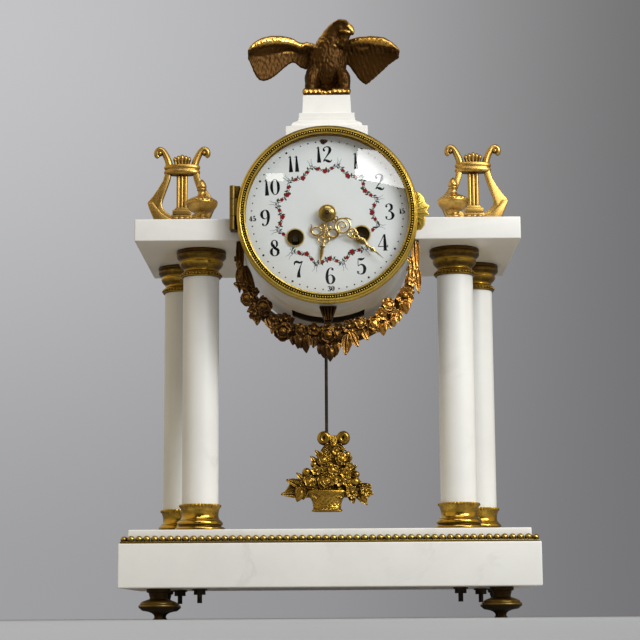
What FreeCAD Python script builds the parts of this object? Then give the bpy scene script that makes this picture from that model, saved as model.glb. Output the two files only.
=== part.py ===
import FreeCAD, Part
import math
import os
import re

import Sketcher
from FreeCAD import Placement, Rotation, Vector

doc = FreeCAD.newDocument("TableClock")
sheet = doc.addObject("Spreadsheet::Sheet", "Sizes")

# Every driving size of the clock in millimetres and degrees. Z is up from the surface the clock
# stands on, the dial looks along -Y, and the box round the whole clock is centred on X = 0, Y = 0.
SIZES = [
    ("portico_y", 7.5, "base centre behind the middle of the whole clock"),
    ("base_width", 250, "marble base, left to right"),
    ("base_depth", 126, "marble base, front to back"),
    ("base_height", 26.1, "marble base slab"),
    ("edge_bevel", 0.8, "broken edges of the marble"),
    ("ledge_side", 5.25, "ledge of the base beside its upper step"),
    ("ledge_front", 5.3, "ledge before and behind the upper step"),
    ("step_height", 8.3, "upper step"),
    ("foot_height", 18.35, "turned feet under the base"),
    ("foot_radius", 12.4, "widest turn of a foot"),
    ("foot_stud_radius", 2.5, "threaded stud of a foot"),
    ("foot_stud_length", 12, "stud in the base"),
    ("foot_stud_play", 0.1, "radial play of a stud in the stone"),
    ("foot_front_x", 102.7, "front feet from the middle"),
    ("foot_rear_x", 108.5, "rear feet from the middle"),
    ("foot_y", 42, "feet before and behind the base centre"),
    ("bead_radius", 2.2, "beads of the brass trim"),
    ("bead_pitch", 4.6, "bead to bead"),
    ("bead_strip_width", 4.2, "strip that carries the beads"),
    ("bead_strip_thick", 1.2, "strip that carries the beads"),
    ("column_radius", 11.2, "marble shafts"),
    ("column_front_x", 79.2, "front columns from the middle"),
    ("column_rear_x", 95.8, "rear columns from the middle"),
    ("column_y", 26.7, "columns before and behind the base centre"),
    ("capital_height", 17.2, "gilt capitals"),
    ("capital_radius", 15.5, "top disc of a capital"),
    ("socle_height", 16.5, "gilt column bases"),
    ("socle_radius", 15.3, "lowest disc of a column base"),
    ("socket_depth", 3.5, "shaft end inside capital and base"),
    ("socket_play", 0.05, "radial play of a shaft in its socket"),
    ("rod_radius", 1.5, "iron tie rods through the columns"),
    ("rod_play", 0.25, "radial play of the rods in the stones"),
    ("thread_play", 0.02, "radial play of parts screwed or pushed on"),
    ("rod_tail", 8.6, "rod end below the base"),
    ("rod_head", 6, "rod end above the top slabs"),
    ("nut_radius", 4.6, "flange of the tie rod nuts"),
    ("nut_flange", 1.0, "flange thickness"),
    ("nut_height", 2.6, "hexagon height"),
    ("slab_width", 235.3, "top slabs over both ends"),
    ("slab_depth", 120, "top slabs, front to back"),
    ("slab_height", 13.7, "top slabs"),
    ("slab_underside", 227.3, "height of their underside"),
    ("drum_radius", 54.3, "marble drum"),
    ("drum_bore", 47.6, "inside of the drum"),
    ("drum_length", 104, "drum, front to back"),
    ("drum_front_y", -59.5, "front face of the drum"),
    ("drum_fit", 0.05, "drum in the slab ends"),
    ("slot_front", 50, "pendulum slot behind the drum face"),
    ("slot_length", 24, "pendulum slot"),
    ("slot_width", 46, "pendulum slot"),
    ("bolt_radius", 2.0, "bolts from the drum into the slabs"),
    ("bolt_length", 22, "bolts from the drum into the slabs"),
    ("bolt_play", 0.05, "radial play of the bolts in the stones"),
    ("bolt_head_radius", 3.8, "heads of these bolts"),
    ("bolt_head_height", 2.2, "heads of these bolts"),
    ("bolt_seat", 0.4, "flat seat of a head, cut into the bore"),
    ("plinth_y", -10, "eagle plinth centre"),
    ("plinth_width", 51.2, "lowest plate of the plinth"),
    ("plinth_top", 327, "top of the plinth block"),
    ("bezel_radius", 55.0, "brass bezel"),
    ("bezel_depth", 8.0, "bezel before the drum face"),
    ("glass_radius", 49.9, "convex glass"),
    ("glass_thick", 1.6, "convex glass"),
    ("glass_rise", 5.0, "rise of the glass at the middle"),
    ("hinge_x", 57.3, "bezel hinge axis from the middle"),
    ("hinge_depth", 2.3, "bezel hinge axis before the drum face"),
    ("hinge_radius", 1.8, "knuckles of both hinges"),
    ("hinge_pin_radius", 0.9, "pins of both hinges"),
    ("hinge_play", 0.06, "radial play of pins in the moving knuckles"),
    ("hinge_height", 27, "bezel hinge, top to bottom"),
    ("hinge_middle_z", 4.5, "bezel hinge middle above the drum axis"),
    ("pull_reach", 62.3, "leaf pull of the bezel from the middle"),
    ("movement_turn", 2.5, "movement turned in the case, degrees"),
    ("dial_radius", 49.4, "enamel dial"),
    ("dial_thick", 1.6, "enamel dial"),
    ("dial_dish", 1.2, "rise of the dial at the middle"),
    ("winding_x", 20, "winding arbors beside the centre"),
    ("winding_drop", 13.27, "winding arbors below the centre"),
    ("winding_hole", 4.9, "holes of the dial for the key"),
    ("rim_radius", 5.6, "brass rims of these holes"),
    ("regulator_rise", 45.8, "regulator arbor above the centre"),
    ("minute_length", 43.5, "minute hand"),
    ("minute_angle", 132, "minute hand at rest, clockwise from twelve"),
    ("hour_length", 30.0, "hour hand"),
    ("hour_angle", 191, "hour hand at rest, clockwise from twelve"),
    ("hand_thick", 0.7, "both hands"),
    ("hour_hand_rise", 3.25, "hour hand before the drum face"),
    ("minute_hand_rise", 4.75, "minute hand before the drum face"),
    ("cannon_radius", 1.8, "pipe of the cannon pinion"),
    ("hour_pipe_radius", 2.7, "pipe of the hour wheel"),
    ("collet_radius", 5.5, "domed boss over the hands"),
    ("plate_radius", 43, "round movement plates"),
    ("plate_thick", 2, "round movement plates"),
    ("front_plate_at", 10, "front plate behind the drum face"),
    ("back_plate_at", 45, "back plate behind the drum face"),
    ("arbor_radius", 0.8, "arbors of the train"),
    ("centre_arbor_radius", 1.2, "centre arbor"),
    ("winding_arbor_radius", 2.2, "barrel arbors"),
    ("winding_square", 3.0, "square for the key"),
    ("pivot_play", 0.06, "radial play of every pivot"),
    ("barrel_radius", 15.2, "spring barrels"),
    ("barrel_length", 20, "spring barrels"),
    ("tooth_play", 0.07, "each tooth thinner than half its pitch"),
    ("great_module", 0.5, "module of barrel wheel and its pinion"),
    ("second_module", 0.45, "module of intermediate wheel and centre pinion"),
    ("train_module", 0.4, "module of centre wheel and third pinion"),
    ("fine_module", 0.35, "module of third and fourth wheels"),
    ("motion_module", 0.4, "module of the wheels under the dial"),
    ("great_teeth", 72, "going barrel"),
    ("strike_teeth", 66, "strike barrel"),
    ("intermediate_teeth", 60, "intermediate wheel"),
    ("centre_teeth", 72, "centre wheel"),
    ("third_teeth", 72, "third wheel"),
    ("fourth_teeth", 48, "fourth wheel"),
    ("pinion_leaves", 12, "all pinions of the train"),
    ("cannon_leaves", 15, "cannon pinion"),
    ("minute_wheel_teeth", 45, "minute wheel"),
    ("minute_pinion_leaves", 12, "pinion of the minute wheel"),
    ("hour_wheel_teeth", 48, "hour wheel"),
    ("escape_teeth", 29, "escape wheel"),
    ("escape_radius", 8.0, "escape wheel over its tips"),
    ("escape_rise", 24, "escape arbor above the centre"),
    ("pallet_rise", 35.5, "pallet arbor and pendulum pivot above the centre"),
    ("third_angle", 40, "third arbor round the centre, degrees"),
    ("pendulum_depth", 61, "pendulum behind the drum face"),
    ("rod_wire_radius", 1.0, "pendulum rod"),
    ("bob_top", 117, "top of the pendulum bob"),
    ("bob_bottom", 65.5, "underside of the pendulum bob"),
    ("bob_width", 59, "flower basket, leaf tip to leaf tip"),
    ("bob_thick", 11, "flower basket, front to back"),
    ("swag_y", -48.5, "garland under the drum"),
    ("swag_radius", 62, "garland round the drum axis"),
    ("swag_thick", 5.2, "radius of the garland at its fullest"),
    ("lyre_height", 69, "lyres over the rear columns"),
    ("lyre_half", 22.8, "half width of a lyre"),
    ("lyre_thick", 5, "lyres, front to back"),
    ("urn_height", 33, "urns over the front columns"),
    ("urn_radius", 10, "urns at their widest"),
    ("eagle_height", 53.2, "eagle over the plinth"),
    ("eagle_span", 97.3, "eagle, wing tip to wing tip"),
    ("bell_radius", 26, "bell behind the pendulum"),
    ("bell_side", 10, "bell beside the movement centre"),
    ("door_radius", 46.4, "rear door"),
    ("door_hinge_x", 49.2, "rear hinge axis from the middle"),
    ("door_hinge_depth", 1.9, "rear hinge axis behind the drum"),
    ("pillar_radius", 2.5, "pillars between the plates"),
    ("dial_pillar_radius", 1.8, "pillars behind the dial"),
    ("bell_post_radius", 2.0, "post of the bell"),
    ("dial_rim_rise", 0.4, "rim of the dial before the drum face"),
    ("dial_ring_bore", 37, "opening of the brass ring behind the dial"),
    ("dial_ring_back", 2.7, "back of that ring behind the drum face"),
    ("regulator_hole", 1.6, "hole of the dial for the regulator"),
    ("front_rebate", 3.6, "step in the bore for the dial ring"),
    ("rebate_depth", 4, "step in the bore for the dial ring"),
    ("rear_rebate", 2, "step in the rear end for the rear ring"),
    ("wheel_thick", 1.5, "wheels of the train"),
    ("great_thick", 2.5, "toothed rims of the barrels"),
    ("hammer_x", -36, "hammer arbor beside the centre"),
    ("hammer_z", 8, "hammer arbor above the centre"),
]
ALIASES = set()
for row, (alias, value, note) in enumerate(SIZES, start=1):
    sheet.set(f"A{row}", note)
    sheet.set(f"B{row}", str(value))
    sheet.setAlias(f"B{row}", alias)
    ALIASES.add(alias)
doc.recompute()

# Heights that follow from the stack of stones, and arbor places that follow from the wheels.
STACK = {
    "step_width": "base_width - 2*ledge_side",
    "step_depth": "base_depth - 2*ledge_front",
    "base_top": "foot_height + base_height",
    "step_top": "foot_height + base_height + step_height",
    "slab_top": "slab_underside + slab_height",
    "axis_z": "slab_underside + slab_height",
    "winding_gap": "sqrt(winding_x^2 + winding_drop^2)",
    "great_gap": "(great_teeth + pinion_leaves)*great_module/2",
    "inter_gap": "(intermediate_teeth + pinion_leaves)*second_module/2",
    "inter_along": "(inter_gap^2 - great_gap^2 + winding_gap^2)/(2*winding_gap)",
    "inter_across": "sqrt(inter_gap^2 - inter_along^2)",
    "inter_x": "(inter_along*winding_x - inter_across*winding_drop)/winding_gap",
    "inter_z": "(0 - inter_along*winding_drop - inter_across*winding_x)/winding_gap",
    "third_gap": "(centre_teeth + pinion_leaves)*train_module/2",
    "third_x": "third_gap*cos(third_angle)",
    "third_z": "third_gap*sin(third_angle)",
    "fourth_gap": "(third_teeth + pinion_leaves)*fine_module/2",
    "escape_gap": "(fourth_teeth + pinion_leaves)*fine_module/2",
    "fourth_span": "sqrt(third_x^2 + (escape_rise - third_z)^2)",
    "fourth_along": "(fourth_gap^2 - escape_gap^2 + fourth_span^2)/(2*fourth_span)",
    "fourth_across": "sqrt(fourth_gap^2 - fourth_along^2)",
    "fourth_x": "third_x + (fourth_across*(escape_rise - third_z) - fourth_along*third_x)/fourth_span",
    "fourth_z": "third_z + (fourth_along*(escape_rise - third_z) + fourth_across*third_x)/fourth_span",
    "pivot_x": "0 - pallet_rise*sin(movement_turn)",
    "pivot_z": "axis_z + pallet_rise*cos(movement_turn)",
    "motion_gap": "(cannon_leaves + minute_wheel_teeth)*motion_module/2",
}
WORD = re.compile(r"[A-Za-z_]\w*")


def bound(text):
    def swap(match):
        word = match[0]
        if word in STACK:
            return "(" + bound(STACK[word]) + ")"
        return "Sizes." + word if word in ALIASES else word
    return WORD.sub(swap, str(text))


def number(text):
    value = sheet.evalExpression(bound(text))
    return float(getattr(value, "Value", value))


def new_body(label):
    body = doc.addObject("PartDesign::Body", label)
    body.Label = label
    return body


def plane(body, role):
    return next(f for f in body.Origin.OriginFeatures if f.Role == role)


def new_sketch(body, role, offset):
    sketch = body.newObject("Sketcher::SketchObject", body.Name + "_sketch")
    sketch.AttachmentSupport = [(plane(body, role), "")]
    sketch.MapMode = "FlatFace"
    sketch.setExpression("AttachmentOffset.Base.z", bound(offset))
    return sketch


def pin_point(sketch, item, end, pair):
    for kind, text in zip(("DistanceX", "DistanceY"), pair):
        index = sketch.addConstraint(Sketcher.Constraint(kind, -1, 1, item, end, number(text)))
        sketch.setExpression(f"Constraints[{index}]", bound(text))


# A closed outline of lines and arcs. A ("via", x, y) between two corners makes that side an arc
# through the point.
def outline(body, role, points, offset="0"):
    sketch = new_sketch(body, role, offset)
    corners = []
    arcs = {}
    for point in points:
        if point[0] == "via":
            arcs[len(corners) - 1] = point[1:]
        else:
            corners.append(point)
    spots = [Vector(number(x), number(y), 0) for x, y in corners]
    sides = []
    for index, start in enumerate(spots):
        stop = spots[(index + 1) % len(spots)]
        if index in arcs:
            middle = Vector(number(arcs[index][0]), number(arcs[index][1]), 0)
            item = sketch.addGeometry(Part.Arc(start, middle, stop))
            gaps = [sketch.getPoint(item, end).distanceToPoint(start) for end in (1, 2)]
            first = 1 if gaps[0] < gaps[1] else 2
            sides.append((item, first, 3 - first))
        else:
            sides.append((sketch.addGeometry(Part.LineSegment(start, stop)), 1, 2))
    for index, (item, first, last) in enumerate(sides):
        following = sides[(index + 1) % len(sides)]
        sketch.addConstraint(Sketcher.Constraint("Coincident", item, last, following[0], following[1]))
    for index, (item, first, last) in enumerate(sides):
        pin_point(sketch, item, first, corners[index])
        if index in arcs:
            spot = Vector(number(arcs[index][0]), number(arcs[index][1]), 0)
            mark = sketch.addGeometry(Part.Point(spot), True)
            pin_point(sketch, mark, 1, arcs[index])
            sketch.addConstraint(Sketcher.Constraint("PointOnObject", mark, 1, item))
    return sketch


def circles(body, role, rounds, offset="0"):
    sketch = new_sketch(body, role, offset)
    for x, y, radius in rounds:
        spot = Vector(number(x), number(y), 0)
        item = sketch.addGeometry(Part.Circle(spot, Vector(0, 0, 1), number(radius)))
        pin_point(sketch, item, 3, (x, y))
        index = sketch.addConstraint(Sketcher.Constraint("Radius", item, number(radius)))
        sketch.setExpression(f"Constraints[{index}]", bound(radius))
    return sketch


def pad(body, sketch, length, back=False, taper=None):
    feature = body.newObject("PartDesign::Pad", body.Name + "_pad")
    feature.Profile = sketch
    feature.setExpression("Length", bound(length))
    feature.Reversed = back
    if taper:
        feature.setExpression("TaperAngle", bound(taper))
    return feature


def pocket(body, sketch, length=None, other=False):
    feature = body.newObject("PartDesign::Pocket", body.Name + "_pocket")
    feature.Profile = sketch
    feature.Reversed = other
    if length:
        feature.setExpression("Length", bound(length))
    else:
        feature.Type = 1
    return feature


def revolve(body, sketch, axis):
    feature = body.newObject("PartDesign::Revolution", body.Name + "_turn")
    feature.Profile = sketch
    feature.ReferenceAxis = (sketch, [axis])
    feature.Angle = 360
    return feature


def bevel(body, feature, width):
    doc.recompute()
    edges = [f"Edge{i + 1}" for i in range(len(feature.Shape.Edges))]
    item = body.newObject("PartDesign::Chamfer", body.Name + "_bevel")
    item.Base = (feature, edges)
    item.setExpression("Size", bound(width))
    return item


def place(item, x="0", y="0", z="0"):
    for letter, text in zip("xyz", (x, y, z)):
        item.setExpression(f"Placement.Base.{letter}", bound(text))
    return item


# The movement hangs in the drum turned about the drum axis. Its own frame has X right, Y back from
# the drum face and Z to twelve o'clock.
def in_movement(item):
    turn = Rotation(Vector(0, 1, 0), -number("movement_turn"))
    item.Placement = Placement(Vector(0, 0, 0), turn)
    place(item, "0", "drum_front_y", "axis_z")
    item.setExpression("Placement.Rotation.Angle", bound("-movement_turn"))
    return item


def in_drum(item):
    return place(item, "0", "drum_front_y", "axis_z")


def formed(label, shape):
    item = doc.addObject("Part::Feature", label)
    item.Label = label
    item.Shape = shape if shape.Placement.isIdentity() else Part.makeCompound([shape])
    return item


def group(label, items):
    item = doc.addObject("Part::Compound", label)
    item.Label = label
    item.Links = items
    return item


def turned_upright(label, points):
    body = new_body(label)
    revolve(body, outline(body, "XZ_Plane", points), "V_Axis")
    return body


def turned_on_depth(label, points):
    body = new_body(label)
    revolve(body, outline(body, "YZ_Plane", points), "H_Axis")
    return body


def square(x, y):
    return [(f"-({x})", f"-({y})"), (x, f"-({y})"), (x, y), (f"-({x})", y)]


def rod_on_depth(start, stop, radius, x=0.0, z=0.0):
    return Part.makeCylinder(radius, stop - start, Vector(x, start, z), Vector(0, 1, 0))


nodes = []

# Base of two white marble slabs, drilled for the four tie rods and the feet.
COLUMN_SPOTS = [
    ("-column_front_x", "-column_y"),
    ("column_front_x", "-column_y"),
    ("-column_rear_x", "column_y"),
    ("column_rear_x", "column_y"),
]
FOOT_SPOTS = [
    ("-foot_front_x", "-foot_y"),
    ("foot_front_x", "-foot_y"),
    ("-foot_rear_x", "foot_y"),
    ("foot_rear_x", "foot_y"),
]
ROD_HOLE = "rod_radius + rod_play"
base_slab = new_body("base_slab")
slab_plan = outline(base_slab, "XY_Plane", square("base_width/2", "base_depth/2"))
bevel(base_slab, pad(base_slab, slab_plan, "base_height"), "edge_bevel")
rod_holes = [(x, y, ROD_HOLE) for x, y in COLUMN_SPOTS]
pocket(base_slab, circles(base_slab, "XY_Plane", rod_holes, "base_height"))
stud_holes = [(x, y, "foot_stud_radius + foot_stud_play") for x, y in FOOT_SPOTS]
pocket(base_slab, circles(base_slab, "XY_Plane", stud_holes), "foot_stud_length + 1", other=True)
nodes.append(place(base_slab, "0", "portico_y", "foot_height"))

base_step = new_body("base_step")
step_plan = outline(base_step, "XY_Plane", square("step_width/2", "step_depth/2"))
bevel(base_step, pad(base_step, step_plan, "step_height"), "edge_bevel")
pocket(base_step, circles(base_step, "XY_Plane", rod_holes, "step_height"))
nodes.append(place(base_step, "0", "portico_y", "base_top"))

# Brass bead trim on the ledge round the front and both sides, mitred into three strips.
def bead_strip(length, centre, angle):
    strip_width = number("bead_strip_width")
    thick = number("bead_strip_thick")
    radius = number("bead_radius")
    count = int(length // number("bead_pitch"))
    start = -(count - 1) * number("bead_pitch") / 2
    strip = Part.makeBox(length, strip_width, thick, Vector(-length / 2, -strip_width / 2, 0))
    beads = []
    for index in range(count):
        spot = Vector(start + index * number("bead_pitch"), 0, thick + radius * 0.6)
        bead = Part.makeSphere(radius, spot, Vector(0, 0, 1))
        beads.append(bead)
    floor = Part.makeBox(length + 20, 20, 20, Vector(-length / 2 - 10, -10, -20))
    shape = strip.multiFuse(beads).cut(floor)
    shape.Placement = Placement(centre, Rotation(Vector(0, 0, 1), angle))
    return shape


ledge_x = (number("base_width") + number("step_width")) / 4
ledge_y = (number("base_depth") + number("step_depth")) / 4
strip_half = number("bead_strip_width") / 2
front_length = 2 * (ledge_x - strip_half - 0.15)
side_length = 2 * ledge_y - 2 * strip_half
bead_z = number("base_top")
bead_mid = number("portico_y")
strips = [bead_strip(front_length, Vector(0, bead_mid - ledge_y, bead_z), 0)]
for sign in (-1, 1):
    side_mid = Vector(sign * ledge_x, bead_mid - strip_half / 2, bead_z)
    strips.append(bead_strip(side_length + strip_half, side_mid, 90))
nodes.append(formed("bead_trim", Part.makeCompound(strips)))

# Four turned brass feet, each with its threaded stud in the base.
FOOT = [
    ("0", "0"),
    ("foot_radius*0.26", "0"),
    ("foot_radius*0.25", "foot_height*0.05"),
    ("foot_radius*0.21", "foot_height*0.15"),
    ("via", "foot_radius*0.34", "foot_height*0.23"),
    ("foot_radius*0.55", "foot_height*0.26"),
    ("foot_radius*0.82", "foot_height*0.335"),
    ("via", "foot_radius", "foot_height*0.474"),
    ("foot_radius*0.86", "foot_height*0.61"),
    ("foot_radius*0.44", "foot_height*0.70"),
    ("foot_radius*0.56", "foot_height*0.76"),
    ("foot_radius*0.565", "foot_height"),
    ("foot_stud_radius", "foot_height"),
    ("foot_stud_radius", "foot_height + foot_stud_length"),
    ("0", "foot_height + foot_stud_length"),
]
feet = []
for index, (x, y) in enumerate(FOOT_SPOTS):
    foot = turned_upright(f"foot_{index + 1}", FOOT)
    feet.append(place(foot, x, f"portico_y + {y}", "0"))
nodes.append(group("feet", feet))

# Four marble shafts between gilt bases and capitals, all threaded on iron tie rods.
COLUMN_NAMES = ["column_front_left", "column_front_right", "column_rear_left", "column_rear_right"]
SHAFT_LOW = "step_top + socle_height - socket_depth"
SHAFT_HIGH = "slab_underside - capital_height + socket_depth"
SHAFT_LENGTH = f"({SHAFT_HIGH}) - ({SHAFT_LOW})"
SHAFT = [
    (ROD_HOLE, "0"),
    ("column_radius", "0"),
    ("column_radius", SHAFT_LENGTH),
    (ROD_HOLE, SHAFT_LENGTH),
]
SOCKET = "column_radius + socket_play"
CAPITAL = [
    (SOCKET, "0"),
    ("capital_radius*0.78", "0"),
    ("capital_radius*0.83", "capital_height*0.05"),
    ("capital_radius*0.83", "capital_height*0.14"),
    ("capital_radius*0.74", "capital_height*0.235"),
    ("capital_radius*0.70", "capital_height*0.34"),
    ("via", "capital_radius*0.76", "capital_height*0.56"),
    ("capital_radius*0.90", "capital_height*0.70"),
    ("capital_radius*0.90", "capital_height*0.75"),
    ("capital_radius", "capital_height*0.76"),
    ("capital_radius", "capital_height*0.86"),
    ("capital_radius*0.965", "capital_height*0.875"),
    ("capital_radius", "capital_height*0.89"),
    ("capital_radius", "capital_height"),
    (ROD_HOLE, "capital_height"),
    (ROD_HOLE, "socket_depth"),
    (SOCKET, "socket_depth"),
]
SOCLE = [
    (ROD_HOLE, "0"),
    ("socle_radius", "0"),
    ("socle_radius", "socle_height*0.18"),
    ("socle_radius*0.91", "socle_height*0.22"),
    ("socle_radius*0.88", "socle_height*0.27"),
    ("via", "socle_radius*0.93", "socle_height*0.36"),
    ("socle_radius*0.88", "socle_height*0.45"),
    ("socle_radius*0.76", "socle_height*0.56"),
    ("socle_radius*0.76", "socle_height*0.68"),
    ("socle_radius*0.85", "socle_height*0.84"),
    ("socle_radius*0.86", "socle_height"),
    (SOCKET, "socle_height"),
    (SOCKET, "socle_height - socket_depth"),
    (ROD_HOLE, "socle_height - socket_depth"),
]
capitals = []
socles = []
rods = []
nuts = []
for name, (x, y) in zip(COLUMN_NAMES, COLUMN_SPOTS):
    at_y = f"portico_y + {y}"
    nodes.append(place(turned_upright(name, SHAFT), x, at_y, SHAFT_LOW))
    capital = turned_upright("capital_of_" + name, CAPITAL)
    capitals.append(place(capital, x, at_y, "slab_underside - capital_height"))
    socle = turned_upright("base_of_" + name, SOCLE)
    socles.append(place(socle, x, at_y, "step_top"))
    rod = doc.addObject("Part::Cylinder", "rod_of_" + name)
    rod.setExpression("Radius", bound("rod_radius"))
    rod.setExpression("Height", bound("slab_top + rod_head - foot_height + rod_tail"))
    rods.append(place(rod, x, at_y, "foot_height - rod_tail"))
    flange = turned_upright("nut_of_" + name, [
        ("rod_radius + thread_play", "0"),
        ("nut_radius", "0"),
        ("nut_radius", "-nut_flange"),
        ("nut_radius*0.78", "-nut_flange"),
        ("nut_radius*0.78", "-nut_flange - nut_height"),
        ("rod_radius + thread_play", "-nut_flange - nut_height"),
    ])
    nuts.append(place(flange, x, at_y, "foot_height"))
nodes.append(group("capitals", capitals))
nodes.append(group("column_bases", socles))
nodes.append(group("tie_rods", rods))
nodes.append(group("tie_rod_nuts", nuts))

# Two marble top slabs, hollowed at the inner end for the drum and bolted to it.
BOLT_DEPTHS = ("drum_length*0.27", "drum_length*0.73")
BOLT_HOLE = "bolt_radius + bolt_play"
for name, sign in (("entablature_left", "-"), ("entablature_right", "")):
    wing = new_body(name)
    inner = f"{sign}(drum_radius*0.6)"
    outer = f"{sign}(slab_width/2)"
    corners = [
        (inner, "-slab_depth/2"),
        (outer, "-slab_depth/2"),
        (outer, "slab_depth/2"),
        (inner, "slab_depth/2"),
    ]
    wing_pad = pad(wing, outline(wing, "XY_Plane", corners), "slab_height")
    bevel(wing, wing_pad, "edge_bevel")
    side_holes = [
        (f"{sign}column_front_x", "-column_y", ROD_HOLE),
        (f"{sign}column_rear_x", "column_y", ROD_HOLE),
    ]
    pocket(wing, circles(wing, "XY_Plane", side_holes, "slab_height"))
    drum_round = [("0", "slab_height", "drum_radius + drum_fit")]
    pocket(wing, circles(wing, "XZ_Plane", drum_round, "slab_depth/2 + 1"))
    bolt_spots = []
    for depth in BOLT_DEPTHS:
        bolt_spots.append((f"drum_front_y - portico_y + {depth}", "slab_height/2", BOLT_HOLE))
    bolt_holes = circles(wing, "YZ_Plane", bolt_spots)
    pocket(wing, bolt_holes, "drum_bore + bolt_seat + bolt_length + 1", other=sign == "")
    nodes.append(place(wing, "0", "portico_y", "slab_underside"))

bolts = []
for side in (-1, 1):
    for depth in BOLT_DEPTHS:
        seat_x = side * number("drum_bore + bolt_seat")
        start = Vector(seat_x, number(f"drum_front_y + {depth}"), number("axis_z - slab_height/2"))
        outward = Vector(side, 0, 0)
        shank = Part.makeCylinder(number("bolt_radius"), number("bolt_length"), start, outward)
        inward = Vector(-side, 0, 0)
        head_height = number("bolt_head_height")
        head = Part.makeCylinder(number("bolt_head_radius"), head_height, start, inward)
        bolts.append(shank.fuse(head).removeSplitter())
nodes.append(formed("drum_bolts", Part.makeCompound(bolts)))

# The marble drum: a turned tube with a thin groove near its face, a rebate at each end, the
# pendulum slot below and a flat seat in the bore for each bolt head.
drum_case = turned_on_depth("drum_case", [
    ("0", "drum_bore + front_rebate"),
    ("0", "drum_radius - 1"),
    ("1", "drum_radius"),
    ("5", "drum_radius"),
    ("5.4", "drum_radius - 0.5"),
    ("5.8", "drum_radius"),
    ("drum_length - 1", "drum_radius"),
    ("drum_length", "drum_radius - 1"),
    ("drum_length", "door_radius + 2.1"),
    ("drum_length - rear_rebate", "door_radius + 2.1"),
    ("drum_length - rear_rebate", "drum_bore"),
    ("rebate_depth", "drum_bore"),
    ("rebate_depth", "drum_bore + front_rebate"),
])
slot = [
    ("-slot_width/2", "slot_front"),
    ("slot_width/2", "slot_front"),
    ("slot_width/2", "slot_front + slot_length"),
    ("-slot_width/2", "slot_front + slot_length"),
]
pocket(drum_case, outline(drum_case, "XY_Plane", slot))
for other in (False, True):
    spots = [(depth, "-slab_height/2", BOLT_HOLE) for depth in BOLT_DEPTHS]
    pocket(drum_case, circles(drum_case, "YZ_Plane", spots), other=other)
    seats = [(depth, "-slab_height/2", "bolt_head_radius + 0.2") for depth in BOLT_DEPTHS]
    pocket(drum_case, circles(drum_case, "YZ_Plane", seats), "drum_bore + bolt_seat", other=other)
nodes.append(in_drum(drum_case))

# Marble plinth with a hollowed seat on the drum, a sloped moulding, a small step and a tapering block.
eagle_plinth = new_body("eagle_plinth")
seat_low = "drum_radius*0.75"
LEVELS = [
    ("plinth_width*0.5", seat_low, "plinth_top - 23.2 - axis_z", None),
    ("plinth_width*0.435", "plinth_top - 23.2 - axis_z", "plinth_top - 18.1 - axis_z", "-32"),
    ("plinth_width*0.35", "plinth_top - 18.1 - axis_z", "plinth_top - 12.4 - axis_z", None),
    ("plinth_width*0.302", "plinth_top - 12.4 - axis_z", "plinth_top - axis_z", "-3"),
]
for half, low, high, taper in LEVELS:
    level = outline(eagle_plinth, "XY_Plane", square(half, half), low)
    pad(eagle_plinth, level, f"({high}) - ({low})", taper=taper)
seat = circles(eagle_plinth, "XZ_Plane", [("0", "0", "drum_radius + drum_fit")], "plinth_width")
pocket(eagle_plinth, seat)
nodes.append(place(eagle_plinth, "0", "plinth_y", "axis_z"))

# Gilt bronze eagle with spread wings on a thunderbolt, lofted in one piece.
def ring_wire(centre, normal, across, along):
    circle = Part.Ellipse(Vector(0, 0, 0), max(across, along), min(across, along)).toShape()
    wire = Part.Wire([circle])
    if along > across:
        wire.rotate(Vector(0, 0, 0), Vector(0, 0, 1), 90)
    wire.Placement = Placement(centre, Rotation(Vector(0, 0, 1), normal)).multiply(wire.Placement)
    return wire


def wing_slice(x, low, high, middle, thick):
    half = (high - low) / 2
    centre = (high + low) / 2
    points = []
    for step in range(10):
        angle = 2 * math.pi * step / 10
        points.append(Vector(x, middle + thick / 2 * math.sin(angle), centre + half * math.cos(angle)))
    curve = Part.BSplineCurve()
    curve.interpolate(points, PeriodicFlag=True)
    return Part.Wire([curve.toShape()])


span = number("eagle_span") / 97.3
tall = number("eagle_height") / 53.2
BODY_RINGS = [
    ((0, 4, 7), 4.2, 3.6),
    ((0, 2.5, 13), 7.4, 6.2),
    ((0.3, 0.5, 21), 9.2, 7.6),
    ((1.2, -1.0, 30), 8.2, 7.0),
    ((3.6, -2.6, 38), 5.4, 5.2),
    ((5.8, -4.0, 43), 4.6, 4.6),
    ((7.6, -4.6, 47), 4.9, 4.7),
    ((8.8, -4.8, 50.6), 3.8, 3.8),
    ((9.3, -4.8, 53.0), 1.6, 1.6),
]
rings = []
for (x, y, z), across, along in BODY_RINGS:
    rings.append(ring_wire(Vector(x * span, y, z * tall), Vector(0, 0, 1), across * span, along))
eagle = Part.makeLoft(rings, True)
LEFT_WING = [
    (-4, 15, 33, 1.5, 5.0),
    (-14.7, 20.2, 38.5, -0.5, 4.2),
    (-24, 26.5, 41.8, -3.0, 3.6),
    (-33, 20.5, 43.5, -6.0, 3.0),
    (-41.8, 14.3, 40.3, -9.5, 2.4),
    (-47, 20.5, 36.8, -12.0, 1.8),
    (-50.5, 29.0, 33.2, -13.5, 1.2),
]
RIGHT_WING = [
    (5, 16, 35, 1.5, 5.0),
    (13.7, 25.0, 40.5, -0.5, 4.2),
    (19.5, 18.0, 42.2, -2.5, 3.6),
    (24.7, 11.8, 43.0, -4.5, 3.2),
    (32, 18.5, 42.8, -7.5, 2.6),
    (39.5, 26.0, 39.5, -10.5, 1.9),
    (46.8, 30.4, 33.6, -13.0, 1.2),
]
for wing in (LEFT_WING, RIGHT_WING):
    slices = []
    for x, low, high, middle, thick in wing:
        slices.append(wing_slice(x * span, low * tall, high * tall, middle, thick))
    eagle = eagle.fuse(Part.makeLoft(slices, True))
beak_start = Vector(11.0 * span, -5.6, 47.4 * tall)
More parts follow.
